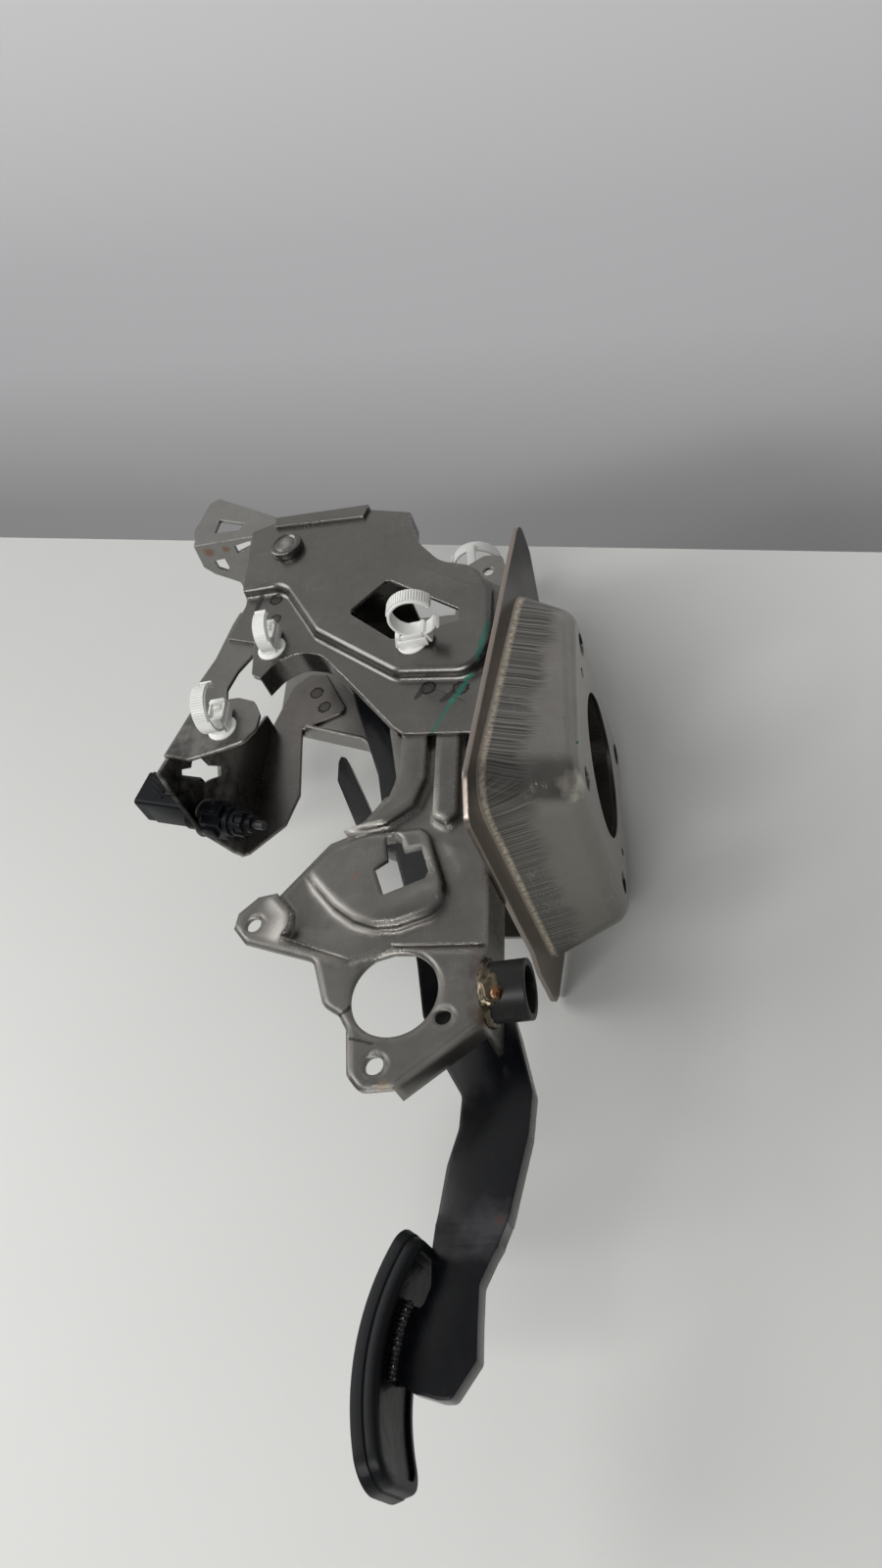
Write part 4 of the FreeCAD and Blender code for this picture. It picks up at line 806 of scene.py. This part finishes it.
def padRibs(mesh, front, length):
    # cuts the front across at each groove, and sinks the grooves
    c = padCover
    pitch = (length - c["ribStart"] - c["ribEnd"]) / c["ribs"]
    starts = [c["ribStart"] + rib * pitch for rib in range(c["ribs"])]
    for start in starts:
        for place in (start, start + c["grooveWidth"]):
            geom = list({item for face in front for item in (*face.verts, *face.edges, face)})
            cut = bmesh.ops.bisect_plane(mesh, geom=geom, dist=0.00001, plane_co=(place, 0, 0),
                                         plane_no=(1, 0, 0))
            front = [item for item in cut["geom"] if isinstance(item, bmesh.types.BMFace)]
    middles = [start + c["grooveWidth"] / 2 for start in starts]
    near = 0.3
    grooves = [face for face in front
               if any(abs(face.calc_center_median().x - middle) < near for middle in middles)]
    bmesh.ops.inset_individual(mesh, faces=grooves, thickness=c["grooveSide"], depth=0)
    bmesh.ops.translate(mesh, vec=(0, 0, c["grooveDepth"]),
                        verts=list({vert for face in grooves for vert in face.verts}))


def makePadCover():
    # drawn flat, length along x, width along y and depth along z, then bent round the pad's centre
    c = padCover
    length = math.radians(c["lower"] - c["upper"]) * c["radius"]
    mesh = bmesh.new()
    bmesh.ops.create_grid(mesh, x_segments=1, y_segments=1, size=0.5)
    bmesh.ops.scale(mesh, vec=(length, c["half"] * 2, 1), verts=mesh.verts)
    bmesh.ops.translate(mesh, vec=(length / 2, 0, 0), verts=mesh.verts)
    for near, radius in ((True, c["topCorner"]), (False, c["lowCorner"])):
        ends = [vert for vert in mesh.verts if (vert.co.x < length / 2) == near]
        bmesh.ops.bevel(mesh, geom=ends, offset=radius, affect="VERTICES", segments=c["cornerSegments"],
                        profile=0.5, material=-1)
    moveOutline(mesh.verts, c["inward"], length)
    faces = mesh.faces[:]
    copy = bmesh.ops.duplicate(mesh, geom=mesh.verts[:] + mesh.edges[:] + faces)
    front = [item for item in copy["geom"] if isinstance(item, bmesh.types.BMFace)]
    for amount, rise in c["steps"]:
        faces = pulledUp(mesh, faces, amount, rise, length)
    padRibs(mesh, pulledUp(mesh, front, c["frontEdge"], 0, length), length)
    bmesh.ops.remove_doubles(mesh, verts=mesh.verts, dist=0.001)
    cutRows(mesh, c["rowMargin"], length - c["rowMargin"], c["rows"], (1, 0, 0))
    notch = c["notch"]
    for vert in mesh.verts:
        along, across, depth = vert.co
        clear = within((abs(across + c["middle"] + notch["middle"]) - notch["half"]) / notch["side"])
        depth = min(depth, notch["depth"] + notch["gain"] * along + notch["rise"] * clear)
        angle = math.radians(c["upper"]) + along / c["radius"]
        reach = c["radius"] - depth
        vert.co = (c["centre"][0] + reach * math.cos(angle), c["middle"] + across,
                   c["centre"][1] + reach * math.sin(angle))
    finished("padCover", mesh, "pedal", "pad_rubber", padRubber, "pad_rubber", angle=32)


padBeads = {
    "centre": (-1.6, -4.0, -259.0),
    "reach": 81.2,
    "start": 160.5,
    "pitch": 1.1,  # degrees from lump to lump
    "count": 16,
    "side": 5.2,
    "size": (2.3, 1.9, 1.5),
    "wider": 0.3,  # every other lump
    "rough": 0.35,
}


def makePadBeads():
    # two runs of weld between the arm and the pad plate
    c = padBeads
    mesh = bmesh.new()
    for side in (-1, 1):
        for step in range(c["count"]):
            angle = math.radians(c["start"] + step * c["pitch"])
            centre = (c["centre"][0] + c["reach"] * math.cos(angle), c["centre"][1] + side * c["side"],
                      c["centre"][2] + c["reach"] * math.sin(angle))
            size = (c["size"][0], c["size"][1] + c["wider"] * (step % 2), c["size"][2])
            lump(mesh, centre, size, c["rough"], step * 3.1 + side, 2)
    finished("padBeads", mesh, "pedal", "arm_black", weldPaint, "pad_weld", angle=70)


collarBead = {
    "foot": -42.8,
    "y": -33.0,
    "z": -127.0,
    "ring": 11.6,
    "thick": 1.9,
    "ripples": ((0.28, 0.55), (0.12, 1.6)),  # height and scale of each
    "uneven": 1.4,
    "heap": (-40.0, -43.9, -131.0),
    # place beside the heap, size, roughness, seed, detail
    "lumps": [((0, 0, 0), (4.6, 2.8, 6.4), 0.3, 5.0, 4), ((-2.0, 0.8, 6.0), (3.0, 2.2, 4.2), 0.3, 2.0, 4),
              ((2.6, -0.6, -2.4), (2.0, 2.0, 2.4), 0.4, 9.0, 3)],
}


def makeCollarBead():
    # the seam of weld round the foot of the collar tube, heaped up on its near side
    c = collarBead
    mesh = bmesh.new()
    turns = [math.radians(turn) for turn in range(0, 361, 30)]
    section = [(c["ring"] + c["thick"] * math.cos(turn), c["thick"] * math.sin(turn)) for turn in turns]
    spunRing(mesh, section, axes((0, 0, 0), (1, 0, 0), (0, 0, 1)), steps=90)
    for vert in mesh.verts:
        ripple = sum(height * noise.noise(vert.co * scale) for height, scale in c["ripples"])
        middle = Vector((0, vert.co.y, vert.co.z)).normalized() * c["ring"]
        vert.co = middle + (vert.co - middle) * (1 + c["uneven"] * ripple)
    bmesh.ops.translate(mesh, verts=mesh.verts, vec=(c["foot"], c["y"], c["z"]))
    for place, size, rough, seed, detail in c["lumps"]:
        lump(mesh, Vector(c["heap"]) + Vector(place), size, rough, seed, detail)
    finished("collarBeads", mesh, "bracket", "weld_steel", beadSteel, "collar_weld", angle=70)


pivotPin = {
    "x": -154.0,
    "z": 141.0,
    "face": -48.0,
    "end": 48.0,
    # radius and height of the turned head, from its middle down to the shank
    "head": [(0, 4.1), (4.9, 4.1), (5.6, 3.75), (6.2, 4.3), (6.8, 4.5), (8.0, 4.5), (8.6, 4.2), (8.9, 3.6),
             (8.9, 0.5), (8.5, 0), (6, 0)],
    "shank": 6,
    "threads": 9,
    "threadLength": 12,
    "pitch": 1.25,
    "flank": 0.6,
    "root": 5.55,
    "crest": 5.97,
    "tip": 5.2,
}


def makePivotPin():
    # round-headed pin with its thread
    mesh = bmesh.new()
    c = pivotPin
    long = c["end"] - c["face"]
    profile = c["head"] + [(c["shank"], c["threadLength"] - long)]
    for turn in range(c["threads"]):
        height = c["threadLength"] - c["flank"] - long - turn * c["pitch"]
        profile += [(c["root"], height), (c["crest"], height - c["flank"])]
    profile += [(c["tip"], -long), (0, -long)]
    spunRing(mesh, profile, axes((c["x"], c["face"], c["z"]), (0, -1, 0), (0, 0, 1)), steps=56)
    finished("pinTurned", mesh, "bracket", "plated_steel", pinSteel, "pivot_pin", angle=28)


# each clip: its foot disc, the way out of the plate, the hoop's middle and axis, and the hoop's turn
clips = {
    "clip_by_window": {
        "piece": "windowClip", "disc": (-79, -48, 53), "out": -1, "ring": (-73, -66, 53), "axis": (0, 0, 1),
        "from": (1, 0, 0), "start": 38, "sweep": 296, "teeth": (205, 335), "radius": 11.6, "width": 8,
        "headAt": 0.3, "slide": 0},
    "clip_by_arch": {
        "piece": "archClip", "disc": (-157, -42, 74), "out": -1, "ring": (-155, -53, 75), "axis": (1, 0, 0),
        "from": (0, 1, 0), "start": 150, "sweep": 165, "teeth": (156, 258), "radius": 9.6, "width": 7.5,
        "headAt": 0, "slide": 4},
    "clip_on_strap": {
        "piece": "strapClip", "disc": (-178, -40, 28), "out": -1, "ring": (-178, -55, 28),
        "axis": (1, 0, 0), "from": (0, 1, 0), "start": 120, "sweep": 215, "teeth": (138, 262),
        "radius": 11.6, "width": 8, "headAt": 0, "slide": 4},
    "clip_on_ear": {
        "piece": "earClip", "disc": (-76.4, 38, 170), "out": 1, "ring": (-80.4, 56, 218),
        "axis": (0, 0, 1), "from": (1, 0, 0), "start": 205, "sweep": 290, "teeth": (0, 0), "radius": 15,
        "width": 8, "headAt": 0.2, "slide": 0},
}
clipForm = {
    "wall": 1.5,
    "edge": 0.3,
    "pitch": 6,  # degrees from tooth to tooth
    "tooth": (1.5, 1.0),
    "toothMargin": 1.2,
    "foot": [(0, 1.0), (7.3, 0.9), (7.5, 0.6), (7.5, 0.05), (0, 0.05)],
    "boss": [(0, 3.4), (3.4, 3.2), (4.9, 2.3), (5.3, 1.2), (5.3, 0.5), (0, 0.5)],
    "headRise": 2.6,
    "neckFrom": 20,  # a hoop that stands further off than this has a neck
    "neck": (2.4, 5.0, 0.9),  # thickness, width, and length as a share of the distance
    "neckAt": 0.55,
    # size, place beside the head's middle, tilt and bevel of each block in the head
    "head": [((9.6, 14.0, 5.0), (0, 0, 1.0), 0, 0.5), ((8.6, 12.4, 1.4), (0, 0, 4.0), 0, 0.3),
             ((8.6, 1.5, 3.2), (0, -5.5, 5.4), 0, 0.35), ((1.2, 11.0, 2.2), (-3.7, 0, 5.2), 0, 0.3),
             ((7.6, 1.5, 8.2), (0, -7.4, 3.2), -16, 0.35),
             ((8.6, 1.5, 3.2), (0, 5.5, 5.4), 0, 0.35), ((1.2, 11.0, 2.2), (3.7, 0, 5.2), 0, 0.3),
             ((7.6, 1.5, 8.2), (0, 7.4, 3.2), 16, 0.35), ((4.0, 2.0, 2.6), (0, 2.2, 5.2), 0, 0.3)],
    "tail": (2.6, 1.6, 0.8),  # the lip at the hoop's open end: its width is a share of the hoop's
    "tailTurn": 3,
    "tailOut": 0.4,
}


def hoopProfile(radius, half):
    # the hoop's section, with its corners cut
    wall = clipForm["wall"]
    edge = clipForm["edge"]
    inner = radius - wall
    return [(inner, -half + edge), (inner + edge, -half), (radius - edge, -half), (radius, -half + edge),
            (radius, half - edge), (radius - edge, half), (inner + edge, half), (inner, half - edge)]


def makeClip(node):
    c = clips[node]
    form = clipForm
    mesh = bmesh.new()
    out = Vector((0, c["out"], 0))
    disc = Vector(c["disc"])
    ring = Vector(c["ring"])
    hoop = axes(ring, c["axis"], c["from"])
    spunRing(mesh, hoopProfile(c["radius"], c["width"] / 2), hoop, steps=44, start=c["start"],
             sweep=c["sweep"])
    low, high = c["teeth"]
    for step in range(int((high - low) / form["pitch"])):
        tooth = shifted(hoop @ turnedBy(low + step * form["pitch"], "Z"), c["radius"], 0, 0)
        block(mesh, (*form["tooth"], c["width"] - form["toothMargin"]), tooth)
    foot = axes(disc, out, c["axis"])
    spunRing(mesh, form["foot"], foot, steps=36)
    spunRing(mesh, form["boss"], foot, steps=32)
    lean = (ring - disc) - out * (ring - disc).dot(out)
    rise = out * form["headRise"]
    if lean.length > form["neckFrom"]:
        thick, wide, share = form["neck"]
        neck = axes(disc + lean * form["neckAt"] + rise, lean, out)
        block(mesh, (thick, wide, lean.length * share), neck, 0.5)
    head = axes(disc + lean * c["headAt"] + rise, out, c["axis"])
    for size, (x, y, z), tilt, bevel in form["head"]:
        block(mesh, size, shifted(head, x, c["slide"] + y, z) @ turnedBy(tilt, "X"), bevel)
    thick, wide, share = form["tail"]
    tail = shifted(hoop @ turnedBy(c["start"] + form["tailTurn"], "Z"), c["radius"] + form["tailOut"], 0, 0)
    block(mesh, (thick, wide, c["width"] * share), tail, 0.3)
    finished(c["piece"], mesh, "bracket", "clip_nylon", clipNylon, node, angle=30)


switch = {
    "hole": (-204.7, 0.0, 7.4),
    "along": (0.9505, 0.0, -0.3107),
    "side": (-0.3107, 0.0, -0.9505),
    # radius and height of the bayonet flange and of the stepped barrel
    "flange": [(7.2, 4.8), (8.3, 4.8), (8.6, 4.5), (8.6, 3.0), (7.2, 3.0)],
    "barrel": [(5.9, 16.2), (7.4, 16.2), (7.8, 16.6), (7.8, 19.0), (7.4, 19.4), (6.3, 19.4), (6.3, 20.6),
               (6.9, 20.9), (6.9, 22.2), (6.5, 22.6), (5.9, 22.6)],
    "seat": [(7.3, 1.2), (9.6, 1.2), (10.0, 1.5), (9.7, 2.0), (8.9, 2.3), (7.3, 2.3)],
    # size, place and bevel of the lugs, the latch and the side ribs
    "blocks": [((5.0, 3.4, 3.2), (0, -8.0, 4.6), 0.45), ((5.0, 3.4, 3.2), (0, 8.0, 4.6), 0.45),
               ((7.5, 3.6, 6.0), (-1.5, -8.4, 10.2), 0.45), ((2.6, 6.0, 7.0), (8.4, 0, 9.0), 0.45),
               ((7.0, 1.4, 15.0), (-8, -9.2, -14.5), 0.4), ((4.2, 1.6, 3.0), (-8, -9.9, -20.0), 0.4),
               ((0.9, 16.0, 26.0), (-18.1, 0, -20.0), 0.3), ((0.9, 16.0, 26.0), (2.1, 0, -20.0), 0.3)],
    "splines": {"count": 6, "start": 15, "reach": 6.4, "height": 24.0, "size": (1.2, 2.6, 6.0)},
    "grip": {"count": 4, "first": (-15.0, -9.1, -31.0), "step": (3.3, 0, 1.2), "size": (0.9, 1.3, 11.0),
             "tilt": 24},
}


def makeSwitchDetail():
    # bayonet flange, lugs, stepped barrel, and the ribs and latch of the connector
    c = switch
    place = axes(c["hole"], c["along"], c["side"])
    mesh = bmesh.new()
    spunRing(mesh, c["flange"], place, steps=40)
    spunRing(mesh, c["barrel"], place, steps=40)
    for size, (x, y, z), bevel in c["blocks"]:
        block(mesh, size, shifted(place, x, y, z), bevel)
    splines = c["splines"]
    for step in range(splines["count"]):
        turn = turnedBy(step * 360 / splines["count"] + splines["start"], "Z")
        block(mesh, splines["size"], shifted(place @ turn, splines["reach"], 0, splines["height"]), 0.3)
    grip = c["grip"]
    for step in range(grip["count"]):
        x, y, z = (start + step * change for start, change in zip(grip["first"], grip["step"]))
        block(mesh, grip["size"], shifted(place, x, y, z) @ turnedBy(grip["tilt"], "Y"), 0.25)
    finished("switchDetail", mesh, "bracket", "switch_plastic", switchPlastic, angle=30)
    seat = bmesh.new()
    spunRing(seat, c["seat"], place, steps=48)
    finished("switchSeat", seat, "bracket", "switch_plastic", seatPlastic, angle=30)


lowerPlate = {
    "join": 0.0003,  # very short edges would hold the bends back
    "corner": {"width": 0.006, "segments": 5, "angles": (8, 62), "leastArea": 0.000007},
    # level across the car, whether it bulges, width of the bend
    "bends": [(-0.040, True, 0.0034), (-0.035, False, 0.0016), (-0.0375, False, 0.0012)],
}


def makeLowerPlate():
    # the stepped plate with round beads and wide bends, which the pressed sheet has
    c = lowerPlate
    mesh = mergedCopy("right_lower_plate")
    bmesh.ops.remove_doubles(mesh, verts=mesh.verts, dist=c["join"])
    roundCorners(mesh, c["corner"])
    for level, convex, width in c["bends"]:
        edges = stepEdges(mesh, level, convex)
        print("lower plate bend:", level, len(edges), "edges")
        bevelEdges(mesh, edges, width, 4)
    finished("lowerPlate", mesh, "bracket", "plate_steel", lowerSteel, "right_lower_plate", unit=1.0)


makeArm()
makeLowerPlate()
makePadCover()
makePadBeads()
makeCollarBead()
makePivotPin()
for node in clips:
    makeClip(node)
makeSwitchDetail()
print("pieces made")

table = {
    "height": 0.0845,  # the part lies on its left side, so the table top is across Y
    "edge": (-0.1157, 0.2774),  # a point of the far table edge
    "run": (0.9498, 0.0, -0.3126),  # direction of that edge
    "color": (0.62, 0.625, 0.602, 1),
    "rough": 0.45,
    "size": 3.0,
}
hanging = {
    "gap": 0.40,
    "top": -0.22,  # the sheet ends just above the picture
    # painted shade: the sheet's colour runs from low, near the table, to high, towards its top
    "low": (0.54, 0.535, 0.54, 1),
    "high": (0.80, 0.797, 0.81, 1),
    "fade": (0.42, 0.2),
    "rough": 0.5,
}


def stageFinish(name, makeColor, rough):
    # pale, and clear from behind; the table is plain, and the hanging sheet carries painted shade in its
    # colour
    finish, board, shader = newFinish(name)
    board.feed(shader.inputs["Base Color"], makeColor(board))
    shader.inputs["Roughness"].default_value = rough
    behind = board.add("ShaderNodeNewGeometry", {}).outputs["Backfacing"]
    clear = board.add("ShaderNodeBsdfTransparent", {}).outputs[0]
    mixed = board.add("ShaderNodeMixShader", {0: behind, 1: shader.outputs[0], 2: clear}).outputs[0]
    board.feed(finish.node_tree.nodes["Material Output"].inputs["Surface"], mixed)
    return finish


def tableColor(board):
    cloud = board.group(mottle, {"Vector": board.objectPlace(), "Scale": 3.0})["Mask"]
    return board.mix(cloud, toned(table["color"], 0.97), table["color"])


def sheetColor(board):
    # painted shade: the sheet is darker near the table and paler towards its top
    height = board.split(board.objectPlace())["Y"]
    return board.mix(board.span(height, *hanging["fade"]), hanging["low"], hanging["high"])


def stagePlane(name, corner, along, up, finish):
    mesh = bmesh.new()
    bmesh.ops.create_grid(mesh, x_segments=1, y_segments=1, size=0.5)
    bmesh.ops.translate(mesh, verts=mesh.verts, vec=(0.5, 0.5, 0))
    turn = Matrix((along, up, along.cross(up).normalized())).transposed()
    bmesh.ops.transform(mesh, matrix=Matrix.Translation(corner) @ turn.to_4x4(), verts=mesh.verts)
    data = bpy.data.meshes.new(name)
    mesh.to_mesh(data)
    mesh.free()
    plane = bpy.data.objects.new(name, data)
    bpy.context.collection.objects.link(plane)
    data.materials.append(finish)


def makeStage():
    # the table top, and the sheet that hangs behind its far edge
    run = Vector(table["run"])
    away = Vector((-run.z, 0, run.x))
    size = table["size"]
    edge = Vector((table["edge"][0], table["height"], table["edge"][1]))
    stagePlane("tableTop", edge - run * size - away * size, run * size * 2, away * size,
               stageFinish("paleTable", tableColor, table["rough"]))
    low = edge + away * hanging["gap"] + Vector((0, size / 2, 0))
    tall = low.y - hanging["top"]
    stagePlane("hangingSheet", low - run * size, run * size * 2, Vector((0, -tall, 0)),
               stageFinish("paleSheet", sheetColor, hanging["rough"]))


makeStage()

light = {
    "world": 0.66,
    "worldDark": (0.06, 0.06, 0.065, 1),
    "worldPale": (1.1, 1.1, 1.09, 1),
    # the world's level by direction: axis, where it starts and ends, level there
    "falls": [("Y", 0.3, -0.8, 0.35, 1.0), ("X", 0.6, -0.8, 0.55, 1.0), ("Z", -0.9, 0.1, 0.5, 1.0),
              ("Z", 0.15, 0.85, 0.35, 1.5)],
    "aim": (-0.08, 0, 0),
    "keyPlace": (-2.75, -2.05, 0.5),
    "keySize": 2.4,
    "keyPower": 58,
    "tubePlace": (-0.5, -1.3, -1.35),
    "tubeLength": 1.5,
    "tubeWidth": 0.16,
    "tubePower": 24,
}


def makeLamp(name, shape, size, width, power, place):
    lamp = bpy.data.lights.new(name, "AREA")
    lamp.shape = shape
    lamp.size = size
    lamp.size_y = width
    lamp.energy = power
    holder = bpy.data.objects.new(name, lamp)
    bpy.context.collection.objects.link(holder)
    holder.location = place
    holder.visible_camera = False
    toward = (Vector(light["aim"]) - Vector(place)).normalized()
    across = Vector((1, 0, 0)) - toward * toward.x
    across.normalize()
    turn = Matrix((across, across.cross(toward), -toward)).transposed()
    holder.rotation_euler = turn.to_euler()


def makeWorld():
    # soft light all round, brighter from above the table and from the part's rear and top
    world = bpy.data.worlds.new("studio")
    bpy.context.scene.world = world
    world.use_nodes = True
    board = Board(world.node_tree)
    toward = board.split(board.add("ShaderNodeTexCoord", {}).outputs["Generated"])
    above, side, front, rear = [board.span(toward[axis], *ends) for axis, *ends in light["falls"]]
    level = board.times(board.times(above, side), board.times(front, rear))
    back = world.node_tree.nodes["Background"]
    board.feed(back.inputs["Color"], board.mix(level, light["worldDark"], light["worldPale"]))
    back.inputs["Strength"].default_value = light["world"]


def makeLight():
    makeWorld()
    makeLamp("keyLamp", "DISK", light["keySize"], light["keySize"], light["keyPower"], light["keyPlace"])
    makeLamp("tubeLamp", "RECTANGLE", light["tubeLength"], light["tubeWidth"], light["tubePower"],
             light["tubePlace"])


makeLight()
bpy.context.scene.view_settings.view_transform = "Standard"
print("stage and light ready")
